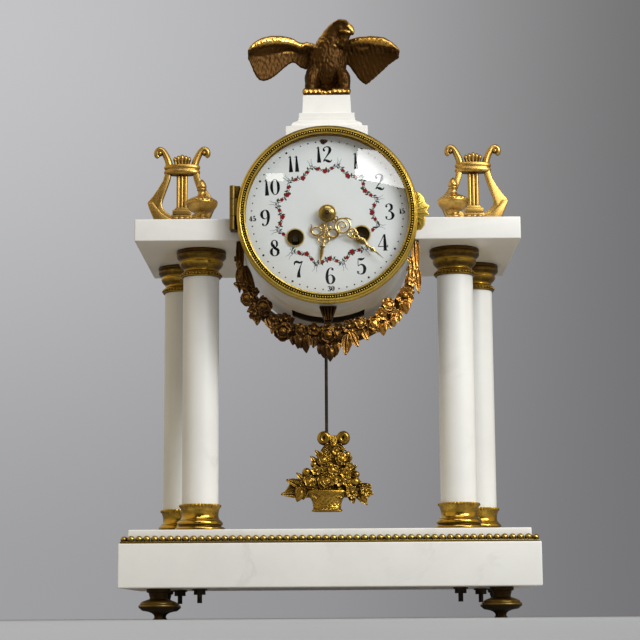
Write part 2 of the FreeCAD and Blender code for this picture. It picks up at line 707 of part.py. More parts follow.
eagle = eagle.fuse(Part.makeCone(2.4, 0.5, 6.2, beak_start, Vector(5.4, -1.4, -1.8)))
tail = [wing_slice(end * span, 3 * tall, 12 * tall, 8, 2.4) for end in (-5.5, 5.5)]
eagle = eagle.fuse(Part.makeLoft(tail, True))
for side in (-1, 1):
    hip = Vector(side * 5.2 * span, 0.5, 12 * tall)
    eagle = eagle.fuse(Part.makeCone(3.8, 2.0, 9.6 * tall, hip, Vector(side * 2.6, -2.6, -9)))
    bolt_middle = Vector(0, -2, 4.2 * tall)
    eagle = eagle.fuse(Part.makeCone(3.4, 1.2, 14.6 * span, bolt_middle, Vector(side, 0, 0)))
stand = Part.makeBox(21 * span, 18, 3.0 * tall, Vector(-10.5 * span, -8.5, 0))
eagle = eagle.fuse(stand)
eagle_node = formed("eagle", eagle)
nodes.append(place(eagle_node, "0", "plinth_y", "plinth_top"))


# Gilt lyres, cast flat with rounded strings, screwed on the rear tie rods.
def smooth(points):
    curve = Part.BSplineCurve()
    curve.interpolate([Vector(x, 0, z) for x, z in points])
    return curve.toShape()


LYRE_OUTSIDE = [
    (0, 6), (9, 8), (17, 15), (22, 24), (22.8, 32), (20.5, 41), (15, 50), (12, 56), (14, 61.5), (18, 66),
]
LYRE_INSIDE = [
    (14.5, 68.5), (9.6, 63.5), (8.0, 56), (11, 48.5), (15.8, 40), (17.8, 32), (17, 26), (13, 19),
    (7, 13.4), (0, 11.6),
]


def lyre_shape():
    wide = number("lyre_half") / 22.8
    high = number("lyre_height") / 69
    thick = number("lyre_thick")
    outer = [(x * wide, z * high) for x, z in LYRE_OUTSIDE]
    inner = [(x * wide, z * high) for x, z in LYRE_INSIDE]
    tip_start = Vector(outer[-1][0], 0, outer[-1][1])
    tip = Part.LineSegment(tip_start, Vector(inner[0][0], 0, inner[0][1])).toShape()
    foot = Part.LineSegment(Vector(0, 0, inner[-1][1]), Vector(0, 0, outer[0][1])).toShape()
    arm = Part.Face(Part.Wire([smooth(outer), tip, smooth(inner), foot]))
    arm.translate(Vector(0, -thick / 2, 0))
    right = arm.extrude(Vector(0, thick, 0))
    shape = right.fuse(right.mirror(Vector(0, 0, 0), Vector(1, 0, 0)))
    for side in (-1, 1):
        spot = Vector(side * 16.0 * wide, -thick / 2 - 0.6, 66.0 * high)
        shape = shape.fuse(Part.makeCylinder(3.0, thick + 1.2, spot, Vector(0, 1, 0)))
    for low, reach in ((51.5, 12.0), (55.0, 12.6)):
        corner = Vector(-reach * wide, -thick / 2 - 1, low * high)
        shape = shape.fuse(Part.makeBox(2 * reach * wide, thick + 2, 2.8 * high, corner))
    palmette = Part.makeCylinder(4.6, thick, Vector(0, -thick / 2, 58 * high), Vector(0, 1, 0))
    shape = shape.fuse(palmette)
    for x in (-3.1, 0, 3.1):
        shape = shape.fuse(Part.makeCylinder(1.45, 43 * high, Vector(x * wide, 0, 10 * high)))
    corner = Vector(-6.5 * wide, -thick / 2 - 0.5, 10.5 * high)
    shape = shape.fuse(Part.makeBox(13 * wide, thick + 1, 3.5 * high, corner))
    shape = shape.fuse(Part.makeCone(8.5, 5.0, 3.0 * high))
    shape = shape.fuse(Part.makeCone(5.0, 4.0, 5.5 * high, Vector(0, 0, 3.0 * high)))
    bore = Part.makeCylinder(number("rod_radius + thread_play"), number("rod_head") + 0.3)
    return shape.cut(bore).removeSplitter()


for name, sign in (("lyre_left", "-"), ("lyre_right", "")):
    lyre = formed(name, lyre_shape())
    nodes.append(place(lyre, f"{sign}column_rear_x", "portico_y + column_y", "slab_top"))

# Gilt urns, turned, screwed on the front tie rods as their nuts.
URN = [
    ("rod_radius + thread_play", "0"),
    ("urn_radius*0.58", "0"),
    ("urn_radius*0.58", "urn_height*0.045"),
    ("urn_radius*0.34", "urn_height*0.10"),
    ("urn_radius*0.31", "urn_height*0.15"),
    ("urn_radius*0.44", "urn_height*0.19"),
    ("via", "urn_radius*0.86", "urn_height*0.30"),
    ("urn_radius", "urn_height*0.44"),
    ("urn_radius*0.93", "urn_height*0.53"),
    ("urn_radius*0.99", "urn_height*0.55"),
    ("urn_radius*0.99", "urn_height*0.59"),
    ("urn_radius*0.66", "urn_height*0.66"),
    ("urn_radius*0.34", "urn_height*0.71"),
    ("urn_radius*0.25", "urn_height*0.77"),
    ("urn_radius*0.33", "urn_height*0.82"),
    ("via", "urn_radius*0.30", "urn_height*0.91"),
    ("urn_radius*0.16", "urn_height*0.97"),
    ("0", "urn_height"),
    ("0", "rod_head + 0.3"),
    ("rod_radius + thread_play", "rod_head + 0.3"),
]
for name, sign in (("urn_left", "-"), ("urn_right", "")):
    urn = turned_upright(name, URN)
    nodes.append(place(urn, f"{sign}column_front_x", "portico_y - column_y", "slab_top"))

# Gilt garland hung from the slab ends, cast with the lug that holds its middle to the drum.
reach = number("swag_radius") / 62
full = number("swag_thick") / 5.2
low_end = -number("slab_height")
PATH = [
    (57.0, low_end - 0.03, 2.4),
    (56.6, -22, 3.0),
    (54.6, -34, 3.9),
    (49.4, -47, 4.7),
    (39.5, -59, 5.2),
    (22.0, -69.5, 5.7),
    (0, -74.0, 6.2),
]
path = [(-x * reach, z * reach if z < low_end - 1 else z, r * full) for x, z, r in PATH]
path = path + [(-x, z, r) for x, z, r in reversed(path[:-1])]
wires = []
for index, (x, z, radius) in enumerate(path):
    before = path[max(index - 1, 0)]
    after = path[min(index + 1, len(path) - 1)]
    along = Vector(after[0] - before[0], 0, after[1] - before[1])
    if index in (0, len(path) - 1):
        along = Vector(0, 0, -1 if index == 0 else 1)
    wires.append(Part.Wire([Part.Circle(Vector(x, 0, z), along, radius).toShape()]))
swag = Part.makeLoft(wires, True)
FLOWERS = [
    (-44, -54, 6.2), (-30, -65.5, 6.4), (-13, -74, 6.2), (0, -75.5, 7.0),
    (13, -72.5, 6.2), (26, -67, 6.6), (38, -60.5, 6.2), (48.5, -49, 5.8),
    (55.0, -34, 4.8), (-53, -38, 4.8), (-56, -25, 3.9), (56.3, -24, 4.2),
]
for x, z, radius in FLOWERS:
    swag = swag.fuse(Part.makeSphere(radius * full, Vector(x * reach, 0, z * reach)))
swag = swag.fuse(Part.makeCone(5.2, 2.6, 9.0 * reach, Vector(1.0, 0, -80 * reach), Vector(0, 0, -1)))
lug_low = -71 * reach
lug_high = -number("drum_radius") + 1.5
LUG = [(-3.7, lug_low), (3.7, lug_low), (6.0, lug_high), (-6.0, lug_high)]
lug_points = [Vector(x, -3, z) for x, z in LUG]
lug = Part.Face(Part.makePolygon(lug_points + lug_points[:1])).extrude(Vector(0, 6, 0))
drum_round = rod_on_depth(-40, 40, number("drum_radius") + number("drum_fit"))
swag = swag.fuse(lug).cut(drum_round).removeSplitter()
swag_node = formed("swag", swag)
nodes.append(place(swag_node, "0", "swag_y", "axis_z"))

# Brass bezel ring with its leaf pull and the middle knuckle of its hinge.
bezel_turned = turned_on_depth("bezel_turned", [
    ("0", "bezel_radius - 3.8"),
    ("0", "bezel_radius"),
    ("-bezel_depth*0.25", "bezel_radius"),
    ("-bezel_depth*0.32", "bezel_radius - 0.7"),
    ("-bezel_depth*0.42", "bezel_radius - 0.3"),
    ("-bezel_depth*0.65", "bezel_radius - 1.2"),
    ("-bezel_depth*0.78", "bezel_radius - 2.6"),
    ("-bezel_depth*0.93", "bezel_radius - 3.6"),
    ("-bezel_depth", "bezel_radius - 4.6"),
    ("-bezel_depth", "bezel_radius - 5.2"),
    ("-bezel_depth*0.86", "glass_radius - 0.6"),
    ("-bezel_depth*0.80", "glass_radius - 0.6"),
    ("-bezel_depth*0.80", "glass_radius + 0.05"),
    ("-bezel_depth*0.50", "glass_radius + 0.05"),
    ("-bezel_depth*0.50", "bezel_radius - 3.8"),
])
in_drum(bezel_turned)
doc.recompute()
face_y = number("drum_front_y")
axis_z = number("axis_z")
knuckle_x = -number("hinge_x")
knuckle_y = face_y - number("hinge_depth")
hinge_mid = axis_z + number("hinge_middle_z")
hinge_tall = number("hinge_height")
middle_tall = hinge_tall * 0.4
pin_hole = number("hinge_pin_radius") + number("hinge_play")


def upright(radius, tall, x, y, low):
    return Part.makeCylinder(radius, tall, Vector(x, y, low), Vector(0, 0, 1))


knuckle_r = number("hinge_radius")
middle_low = hinge_mid - middle_tall / 2
knuckle = upright(knuckle_r, middle_tall, knuckle_x, knuckle_y, middle_low)
tab = Part.makeBox(5.2, 2.4, middle_tall, Vector(knuckle_x, knuckle_y - knuckle_r, middle_low))
hole = upright(pin_hole, middle_tall + 4, knuckle_x, knuckle_y, middle_low - 2)
inside = rod_on_depth(face_y - 20, face_y + 5, number("bezel_radius") - 3.0, 0, axis_z)
moving = knuckle.fuse(tab).cut(inside).cut(hole)
LEAF = [
    (-0.86, 52), (-0.62, 57.2), (-0.30, 60.0), (-0.10, 59.0), (0.12, 62.3), (0.36, 59.0), (0.56, 60.4),
    (0.80, 57.0), (1.0, 52),
]
leaf_points = []
for rise, out in LEAF:
    leaf_x = out * number("pull_reach") / 62.3
    leaf_points.append(Vector(leaf_x, face_y - 4.2, hinge_mid + rise * hinge_tall / 2))
leaf = Part.Face(Part.makePolygon(leaf_points + leaf_points[:1])).extrude(Vector(0, 3.0, 0)).cut(inside)
bezel_shape = bezel_turned.Shape.fuse(moving).fuse(leaf).removeSplitter()
nodes.append(formed("bezel_ring", bezel_shape))

gap = middle_tall / 2 + 0.15
arms = []
for low, high in ((-hinge_tall / 2, -gap), (gap, hinge_tall / 2)):
    outer_knuckle = upright(knuckle_r, high - low, knuckle_x, knuckle_y, hinge_mid + low)
    web_start = Vector(knuckle_x - 1.5, knuckle_y, hinge_mid + low)
    web = Part.makeBox(6, number("hinge_depth") + 5.8, high - low, web_start)
    arms.append(outer_knuckle.fuse(web))
bridge_start = Vector(knuckle_x - 1.5, face_y + 0.8, hinge_mid - hinge_tall / 2)
bridge = Part.makeBox(6, 5.0, hinge_tall, bridge_start)
pin = upright(number("hinge_pin_radius"), hinge_tall, knuckle_x, knuckle_y, hinge_mid - hinge_tall / 2)
drum_cut = rod_on_depth(face_y - 0.2, face_y + 20, number("drum_radius") + 0.05, 0, axis_z)
ring_cut = rod_on_depth(face_y - 20, face_y + 0.02, number("bezel_radius") + 0.4, 0, axis_z)
hinge_fixed = arms[0].multiFuse([arms[1], bridge]).cut(drum_cut).cut(ring_cut).fuse(pin)
nodes.append(formed("bezel_hinge", hinge_fixed.removeSplitter()))

glass_front = "-bezel_depth*0.775"
glass = turned_on_depth("bezel_glass", [
    (f"{glass_front} - glass_rise", "0"),
    (f"{glass_front} - glass_rise", "1.5"),
    ("via", f"{glass_front} - glass_rise*0.752", "glass_radius*0.5"),
    (glass_front, "glass_radius"),
    (f"{glass_front} + glass_thick", "glass_radius"),
    ("via", f"{glass_front} - glass_rise*0.752 + glass_thick", "glass_radius*0.5"),
    (f"{glass_front} - glass_rise + glass_thick", "1.5"),
    (f"{glass_front} - glass_rise + glass_thick", "0"),
])
nodes.append(in_drum(glass))

# Enamel dial with holes for the key, the hands and the regulator, on a brass ring in the front
# rebate of the drum.
dial_rim = "-dial_rim_rise"
dial = turned_on_depth("dial", [
    (f"{dial_rim} - dial_dish", "3.2"),
    ("via", f"{dial_rim} - dial_dish*0.75", "dial_radius*0.5"),
    (dial_rim, "dial_radius"),
    (f"{dial_rim} + dial_thick", "dial_radius"),
    ("via", f"{dial_rim} - dial_dish*0.75 + dial_thick", "dial_radius*0.5"),
    (f"{dial_rim} - dial_dish + dial_thick", "3.2"),
])
key_holes = [
    ("-winding_x", "-winding_drop", "rim_radius - 0.35"),
    ("winding_x", "-winding_drop", "rim_radius - 0.35"),
    ("0", "regulator_rise", "regulator_hole"),
]
pocket(dial, circles(dial, "XZ_Plane", key_holes, "10"))
nodes.append(in_movement(dial))

dial_back = f"{dial_rim} + dial_thick + 0.05"
dial_ring = turned_on_depth("dial_ring", [
    (dial_back, "dial_ring_bore"),
    (dial_back, "drum_bore + front_rebate - 0.1"),
    ("rebate_depth", "drum_bore + front_rebate - 0.1"),
    ("rebate_depth", "drum_bore - 0.6"),
    ("dial_ring_back", "drum_bore - 0.6"),
    ("dial_ring_back", "dial_ring_bore"),
])
regulator_round = [("0", "regulator_rise", "regulator_hole")]
pocket(dial_ring, circles(dial_ring, "XZ_Plane", regulator_round, "10"))
nodes.append(in_movement(dial_ring))

dial_feet = []
for index, angle in enumerate((52, 128, 200, 340)):
    foot = doc.addObject("Part::Cylinder", f"dial_foot_{index + 1}")
    foot.setExpression("Radius", bound("dial_pillar_radius"))
    foot.setExpression("Height", bound("front_plate_at - dial_ring_back"))
    foot.Placement = Placement(Vector(0, 0, 0), Rotation(Vector(1, 0, 0), -90))
    spot_x = f"40*cos({angle} + movement_turn)"
    spot_z = f"axis_z + 40*sin({angle} + movement_turn)"
    dial_feet.append(place(foot, spot_x, "drum_front_y + dial_ring_back", spot_z))
nodes.append(group("dial_pillars", dial_feet))

rims = []
for sign in ("-", ""):
    rim = new_body("key_rim_left" if sign else "key_rim_right")
    spot = (f"{sign}winding_x", "-winding_drop")
    flange = circles(rim, "XZ_Plane", [(*spot, "rim_radius"), (*spot, "winding_hole")], "2.1")
    pad(rim, flange, "0.48", back=True)
    sleeve = circles(rim, "XZ_Plane", [(*spot, "rim_radius - 0.45"), (*spot, "winding_hole")], "2.0")
    pad(rim, sleeve, "2.7", back=True)
    rims.append(in_movement(rim))
nodes.append(group("winding_rims", rims))


# Pierced gilt hands, drawn pointing to twelve and then turned to the time they show.
def flat_ring(x, z, outer, inner):
    thick = number("hand_thick")
    return rod_on_depth(0, thick, outer, x, z).cut(rod_on_depth(-1, thick + 1, inner, x, z))


def flat_blade(points):
    edge = [Vector(x, 0, z) for x, z in points]
    edge = edge + [Vector(-x, 0, z) for x, z in reversed(points)]
    blade = Part.Face(Part.makePolygon(edge + edge[:1]))
    return blade.extrude(Vector(0, number("hand_thick"), 0))


def hand(label, pieces, bore, angle, rise):
    shape = pieces[0].multiFuse(pieces[1:])
    shape = shape.cut(rod_on_depth(-1, 3, number(bore))).removeSplitter()
    shape.rotate(Vector(0, 0, 0), Vector(0, 1, 0), number(angle))
    shape.translate(Vector(0, -number(rise), 0))
    return in_movement(formed(label, Part.makeCompound([shape])))


long = number("hour_length") / 30
hour_pieces = [
    rod_on_depth(0, number("hand_thick"), 4.5),
    flat_ring(0, 8.2 * long, 4.0, 2.5),
    flat_ring(-5.0 * long, 11.6 * long, 3.3, 2.0),
    flat_ring(5.0 * long, 11.6 * long, 3.3, 2.0),
    flat_ring(0, 14.4 * long, 3.2, 1.9),
    flat_blade([(0.9, 16.9 * long), (1.9, 21 * long), (0.8, 25 * long), (0.15, 30 * long)]),
]
hour_bore = "hour_pipe_radius + thread_play"
nodes.append(hand("hour_hand", hour_pieces, hour_bore, "hour_angle", "hour_hand_rise"))
long = number("minute_length") / 43.5
MINUTE_BLADE = [(1.3, 13), (0.9, 17), (2.4, 22), (1.1, 28), (1.5, 30.5), (0.7, 33.5), (0.15, 43.5)]
minute_pieces = [
    rod_on_depth(0, number("hand_thick"), 3.6),
    flat_ring(0, 7.6 * long, 4.4, 2.9),
    flat_ring(-3.2 * long, 13.2 * long, 2.7, 1.5),
    flat_ring(3.2 * long, 13.2 * long, 2.7, 1.5),
    flat_blade([(half, z * long) for half, z in MINUTE_BLADE]),
]
minute_bore = "cannon_radius + thread_play"
nodes.append(hand("minute_hand", minute_pieces, minute_bore, "minute_angle", "minute_hand_rise"))
hand_collet = turned_on_depth("hand_collet", [
    ("-minute_hand_rise - 0.05", "centre_arbor_radius + thread_play"),
    ("-minute_hand_rise - 0.05", "collet_radius"),
    ("-5.4", "collet_radius"),
    ("via", "-7.3", "collet_radius*0.72"),
    ("-8.2", "0.8"),
    ("-8.2", "0"),
    ("-7.0", "0"),
    ("-7.0", "centre_arbor_radius + thread_play"),
])
nodes.append(in_movement(hand_collet))


# Wheels and pinions with involute teeth, thinned for play.
def toothed(module, teeth, start, thick, phase, x=0.0, z=0.0):
    teeth = int(round(teeth))
    pitch = module * teeth / 2
    base = pitch * math.cos(math.radians(20))
    tip = pitch + 0.75 * module
    root = pitch - 1.05 * module
    flat = math.tan(math.radians(20)) - math.radians(20)
    half = math.pi / (2 * teeth) - number("tooth_play") / (2 * pitch)

    def lean(radius):
        if radius <= base:
            return half + flat
        angle = math.acos(base / radius)
        return half + flat - (math.tan(angle) - angle)

    inner = max(base, root)
    radii = [root, (inner + tip) / 2, tip] if root >= base else [root, base, (base + tip) / 2, tip]
    points = []
    for index in range(teeth):
        middle = math.radians(phase) + 2 * math.pi * index / teeth
        flank = [(radius, -lean(radius)) for radius in radii]
        flank = flank + [(radius, lean(radius)) for radius in reversed(radii)]
        for radius, shift in flank:
            angle = middle + shift
            points.append(Vector(x + radius * math.cos(angle), start, z + radius * math.sin(angle)))
    return Part.Face(Part.makePolygon(points + points[:1])).extrude(Vector(0, thick, 0))


def towards(start, stop):
    return math.degrees(math.atan2(stop[1] - start[1], stop[0] - start[0]))


plate_back = number("back_plate_at") + number("plate_thick")
arbor_front = number("front_plate_at") + 0.5
arbor_back = plate_back - 0.5
leaves = number("pinion_leaves")
CENTRE = (0.0, 0.0)
GOING = (number("winding_x"), -number("winding_drop"))
STRIKE = (-number("winding_x"), -number("winding_drop"))
INTER = (number("inter_x"), number("inter_z"))
THIRD = (number("third_x"), number("third_z"))
FOURTH = (number("fourth_x"), number("fourth_z"))
ESCAPE = (0.0, number("escape_rise"))
MINUTE = (0.0, number("motion_gap"))


def pinion(module, at, partner, start, thick):
    return toothed(module, leaves, start, thick, towards(at, partner) + 180 / leaves, at[0], at[1])


def wheel(module, teeth, at, partner, start, thick):
    return toothed(module, teeth, start, thick, towards(at, partner), at[0], at[1])


def arbor(at, radius=None, start=None, stop=None):
    first = arbor_front if start is None else start
    last = arbor_back if stop is None else stop
    return rod_on_depth(first, last, radius or number("arbor_radius"), at[0], at[1])


def train(label, pieces):
    shape = pieces[0].multiFuse(pieces[1:]).removeSplitter()
    nodes.append(in_movement(formed(label, shape)))


# Under the dial: the cannon pinion on the centre arbor drives the minute wheel, and the pinion of
# that wheel drives the hour wheel.
motion = number("motion_module")
up_phase = towards(CENTRE, MINUTE)
cannon = toothed(motion, number("cannon_leaves"), 7.0, 2.0, up_phase)
cannon = cannon.fuse(rod_on_depth(-number("minute_hand_rise"), 9.4, number("cannon_radius")))
cannon = cannon.cut(rod_on_depth(-6, 12, number("centre_arbor_radius + thread_play")))
cannon_collar = rod_on_depth(6.6, 7.0, 2.2).cut(rod_on_depth(6, 8, 1.5))
train("cannon_pinion", [cannon.removeSplitter(), cannon_collar])
minute_teeth = number("minute_wheel_teeth")
minute_phase = towards(MINUTE, CENTRE) + 180 / minute_teeth
minute_leaves = number("minute_pinion_leaves")
leaf_phase = towards(MINUTE, CENTRE) + 180 / minute_leaves
train("minute_wheel", [
    toothed(motion, minute_teeth, 7.2, 1.6, minute_phase, MINUTE[0], MINUTE[1]),
    toothed(motion, minute_leaves, 3.6, 2.6, leaf_phase, MINUTE[0], MINUTE[1]),
    arbor(MINUTE, number("centre_arbor_radius"), 3.2, 9.5),
    arbor(MINUTE, number("arbor_radius"), 9.0, number("front_plate_at + plate_thick")),
])
hour_teeth = toothed(motion, number("hour_wheel_teeth"), 4.0, 1.4, up_phase)
hour_hollow = rod_on_depth(-10, 20, number("cannon_radius + pivot_play"))
hour_pipe = rod_on_depth(-number("hour_hand_rise"), 5.4, number("hour_pipe_radius"))
train("hour_wheel", [hour_teeth.cut(hour_hollow), hour_pipe.cut(hour_hollow)])

# Two round brass plates with all their pivot holes, held apart by four pillars.
PIVOT = "arbor_radius + pivot_play"
pivots = [
    ("0", "0", "centre_arbor_radius + pivot_play"),
    ("winding_x", "-winding_drop", "winding_arbor_radius + pivot_play"),
    ("-winding_x", "-winding_drop", "winding_arbor_radius + pivot_play"),
    ("inter_x", "inter_z", PIVOT),
    ("third_x", "third_z", PIVOT),
    ("fourth_x", "fourth_z", PIVOT),
    ("0", "escape_rise", PIVOT),
    ("0", "pallet_rise", PIVOT),
    ("hammer_x", "hammer_z", PIVOT),
]
front_plate = new_body("front_plate")
front_rounds = [("0", "0", "plate_radius"), *pivots, ("0", "motion_gap", PIVOT)]
front_plan = circles(front_plate, "XZ_Plane", front_rounds, "-front_plate_at")
pad(front_plate, front_plan, "plate_thick", back=True)
nodes.append(in_movement(front_plate))
back_plate = new_body("back_plate")
back_rounds = [("0", "0", "plate_radius"), *pivots]
back_plan = circles(back_plate, "XZ_Plane", back_rounds, "-back_plate_at")
pad(back_plate, back_plan, "plate_thick", back=True)
nodes.append(in_movement(back_plate))
pillars = []
for index, angle in enumerate((35, 145, 255, 285)):
    pillar = doc.addObject("Part::Cylinder", f"plate_pillar_{index + 1}")
    pillar.setExpression("Radius", bound("pillar_radius"))
    pillar.setExpression("Height", bound("back_plate_at - front_plate_at - plate_thick"))
    pillar.Placement = Placement(Vector(0, 0, 0), Rotation(Vector(1, 0, 0), -90))
    spot_x = f"(plate_radius - 4.5)*cos({angle} + movement_turn)"
    spot_z = f"axis_z + (plate_radius - 4.5)*sin({angle} + movement_turn)"
    pillars.append(place(pillar, spot_x, "drum_front_y + front_plate_at + plate_thick", spot_z))
nodes.append(group("plate_pillars", pillars))

# Spring barrels with toothed rims, and the arbors that the key turns.
barrel_start = number("front_plate_at") + number("plate_thick") + 1
barrel_long = number("barrel_length")
great = number("great_module")
winding_r = number("winding_arbor_radius")


def barrel(at, gear, drum_start):
    radius = number("barrel_radius")
    drum = rod_on_depth(drum_start, drum_start + barrel_long, radius, at[0], at[1])
    lip_start = drum_start - 0.4
    lip = rod_on_depth(lip_start, lip_start + barrel_long + 0.8, radius * 0.4, at[0], at[1])
    bore = rod_on_depth(0, 60, number("winding_arbor_radius + pivot_play"), at[0], at[1])
    return drum.multiFuse([gear, lip]).cut(bore).removeSplitter()


great_thick = number("great_thick")
going_gear = wheel(great, number("great_teeth"), GOING, INTER, barrel_start + barrel_long, great_thick)
going_rim = going_gear.cut(rod_on_depth(0, 60, 10, *GOING))
train("going_barrel", [barrel(GOING, going_gear, barrel_start), going_rim])
strike_gear = wheel(great, number("strike_teeth"), STRIKE, CENTRE, barrel_start, great_thick)
strike_rim = strike_gear.cut(rod_on_depth(0, 60, 10, *STRIKE))
train("strike_barrel", [barrel(STRIKE, strike_gear, barrel_start + great_thick), strike_rim])
side = number("winding_square")
for label, at in (("going_arbor", GOING), ("strike_arbor", STRIKE)):
    key_square = Part.makeBox(side, 7.5, side, Vector(at[0] - side / 2, 2.5, at[1] - side / 2))
    train(label, [key_square, arbor(at, winding_r, 9.0, arbor_back)])

# Going train from the barrel to the escape wheel.
second = number("second_module")
train_m = number("train_module")
fine = number("fine_module")
thin = number("wheel_thick")
train("intermediate_wheel", [
    arbor(INTER),
    pinion(great, INTER, GOING, 32.5, 3.5),
    wheel(second, number("intermediate_teeth"), INTER, CENTRE, 38.0, thin),
])
train("centre_wheel", [
    arbor(CENTRE, number("centre_arbor_radius"), -6.9, arbor_back),
    pinion(second, CENTRE, INTER, 37.5, 2.5),
    wheel(train_m, number("centre_teeth"), CENTRE, THIRD, 40.8, thin),
])
train("third_wheel", [
    arbor(THIRD),
    pinion(train_m, THIRD, CENTRE, 40.2, 2.6),
    wheel(fine, number("third_teeth"), THIRD, FOURTH, 37.2, thin),
])
train("fourth_wheel", [
    arbor(FOURTH),
    pinion(fine, FOURTH, THIRD, 36.6, 2.6),
    wheel(fine, number("fourth_teeth"), FOURTH, ESCAPE, 29.0, thin),
])
escape_r = number("escape_radius")
escape_count = int(number("escape_teeth"))
saw = []
for index in range(escape_count):
    for share, radius in ((0.0, escape_r * 0.80), (0.62, escape_r), (0.72, escape_r)):
        angle = 2 * math.pi * (index + share) / escape_count
        saw.append(Vector(radius * math.cos(angle), 22.0, ESCAPE[1] + radius * math.sin(angle)))
escape_rim = Part.Face(Part.makePolygon(saw + saw[:1])).extrude(Vector(0, 1.2, 0))
train("escape_wheel", [arbor(ESCAPE), pinion(fine, ESCAPE, FOURTH, 28.5, 2.5), escape_rim])

# Anchor with its two pallets, and the crutch that hangs plumb behind the back plate and embraces
# the rod.
pallet_z = number("pallet_rise")
turn_angle = number("movement_turn")
rod_at = number("pendulum_depth")
pieces = [arbor((0, pallet_z), None, arbor_front, 52.0), rod_on_depth(21.4, 23.8, 2.3, 0, pallet_z)]
for side_sign in (-1, 1):
    nib_angle = math.radians(90 - side_sign * 42)
    tip = escape_r + 0.75
    nib = [Vector(math.cos(nib_angle + s) * r, 21.6, ESCAPE[1] + math.sin(nib_angle + s) * r)
           for s, r in ((-0.09, tip), (0.09, tip), (0.11, tip + 1.6), (-0.11, tip + 1.6))]
    pieces.append(Part.Face(Part.makePolygon(nib + nib[:1])).extrude(Vector(0, 2.0, 0)))
    nib_x = math.cos(nib_angle) * (tip + 1.2)
    nib_z = ESCAPE[1] + math.sin(nib_angle) * (tip + 1.2)
    reach_out = Vector(nib_x, 0, nib_z - pallet_z)
    length = reach_out.Length
    beam = Part.makeBox(1.7, 2.0, length, Vector(-0.85, 21.6, 0))
    beam.rotate(Vector(0, 0, 0), Vector(0, 1, 0), math.degrees(math.atan2(reach_out.x, reach_out.z)))
    beam.translate(Vector(0, 0, pallet_z))
    pieces.append(beam)
crutch = [
    Part.makeBox(2.4, 1.4, 44, Vector(-1.2, 50.4, -42)),
    rod_on_depth(50.4, 51.8, 2.2),
    Part.makeBox(6.4, 1.4, 3.0, Vector(-3.2, 50.4, -43)),
]
prong_gap = number("rod_wire_radius") + 0.3
for side_sign in (-1, 1):
    start_x = prong_gap if side_sign > 0 else -prong_gap - 1.2
    crutch.append(Part.makeBox(1.2, rod_at + 2.0 - 50.4, 2.0, Vector(start_x, 50.4, -42.5)))
crutch_shape = crutch[0].multiFuse(crutch[1:])
crutch_shape.rotate(Vector(0, 0, 0), Vector(0, 1, 0), turn_angle)
crutch_shape.translate(Vector(0, 0, pallet_z))
pieces.append(crutch_shape)
train("anchor", pieces)

# Suspension cock on the back plate, with the slot for the spring and the bearing of the regulator arbor.
regulator_z = number("regulator_rise")
cock = Part.makeBox(11, rod_at + 4 - plate_back, 5.0, Vector(-5.5, plate_back, 38.6))
cock = cock.fuse(Part.makeBox(5, rod_at + 4 - plate_back, 4.0, Vector(-2.5, plate_back, 43.2)))
cock = cock.cut(Part.makeBox(2.2, 5.2, 4.4, Vector(-1.1, rod_at - 2.6, 38.0)))
cock = cock.cut(rod_on_depth(0, 90, number("arbor_radius") + number("pivot_play"), 0, regulator_z))
nodes.append(in_movement(formed("suspension_cock", cock.removeSplitter())))
regulator = rod_on_depth(-0.9, rod_at + 6, number("arbor_radius"), 0, regulator_z)
regulator_square = Part.makeBox(1.0, 1.4, 1.0, Vector(-0.5, -2.2, regulator_z - 0.5))
nodes.append(in_movement(formed("regulator_arbor", regulator.fuse(regulator_square))))


# Pendulum: the spring in the cock, the plain rod and the cast flower basket.
def at_pivot(item, z="pivot_z"):
    return place(item, "pivot_x", "drum_front_y + pendulum_depth", z)


spring = Part.makeBox(0.3, 4.0, 11.0, Vector(-0.15, -2.0, -5.5))
chop = Part.makeBox(3.4, 5.0, 4.5, Vector(-1.7, -2.5, -9.5))
nodes.append(at_pivot(formed("suspension_spring", spring.fuse(chop).removeSplitter())))
pendulum_rod = doc.addObject("Part::Cylinder", "pendulum_rod")
pendulum_rod.Label = "pendulum_rod"
pendulum_rod.setExpression("Radius", bound("rod_wire_radius"))
pendulum_rod.setExpression("Height", bound("pivot_z - 9.5 - (bob_top - 24)"))
nodes.append(at_pivot(pendulum_rod, "bob_top - 24"))

wide = number("bob_width") / 59
deep = number("bob_thick") / 11
bob_low = number("bob_bottom")
tall_bob = (number("bob_top") - bob_low) / 51.5
BASKET = [
    (0, 9.0, 4.2), (3.0, 9.4, 4.4), (8.0, 12.0, 4.8), (13.0, 15.5, 5.2), (18.0, 17.0, 5.5),
    (25.0, 13.0, 5.3), (33.0, 8.0, 4.8), (40.0, 4.6, 4.0), (46.0, 3.0, 3.2),
]
rings = []
for z, x, y in BASKET:
    centre = Vector(0, 0, bob_low + z * tall_bob)
    rings.append(ring_wire(centre, Vector(0, 0, 1), x * wide, y * deep))
bob = Part.makeLoft(rings, True)
LEAVES = [
    ((-8, 10), (-29.3, 12.6), 4.0), ((-8, 20), (-25.5, 21.2), 4.2), ((-8, 5), (-18.6, 9.0), 2.6),
    ((8, 10), (29.3, 12.6), 4.0), ((8, 4), (24.9, 5.6), 3.0), ((8, 20), (24.5, 21.5), 4.2),
]
for (x, z), (tip_x, tip_z), half in LEAVES:
    start = Vector(x * wide, -1.3, bob_low + z * tall_bob)
    stop = Vector(tip_x * wide, -1.3, bob_low + tip_z * tall_bob)
    along = stop.sub(start)
    across = Vector(-along.z, 0, along.x).normalize().multiply(half)
    middle = start.add(Vector(along).multiply(0.62))
    belly = Vector(across).multiply(0.9)
    points = [start.add(across), middle.add(belly), stop, middle.sub(belly), start.sub(across)]
    bob = bob.fuse(Part.Face(Part.makePolygon(points + points[:1])).extrude(Vector(0, 2.6, 0)))
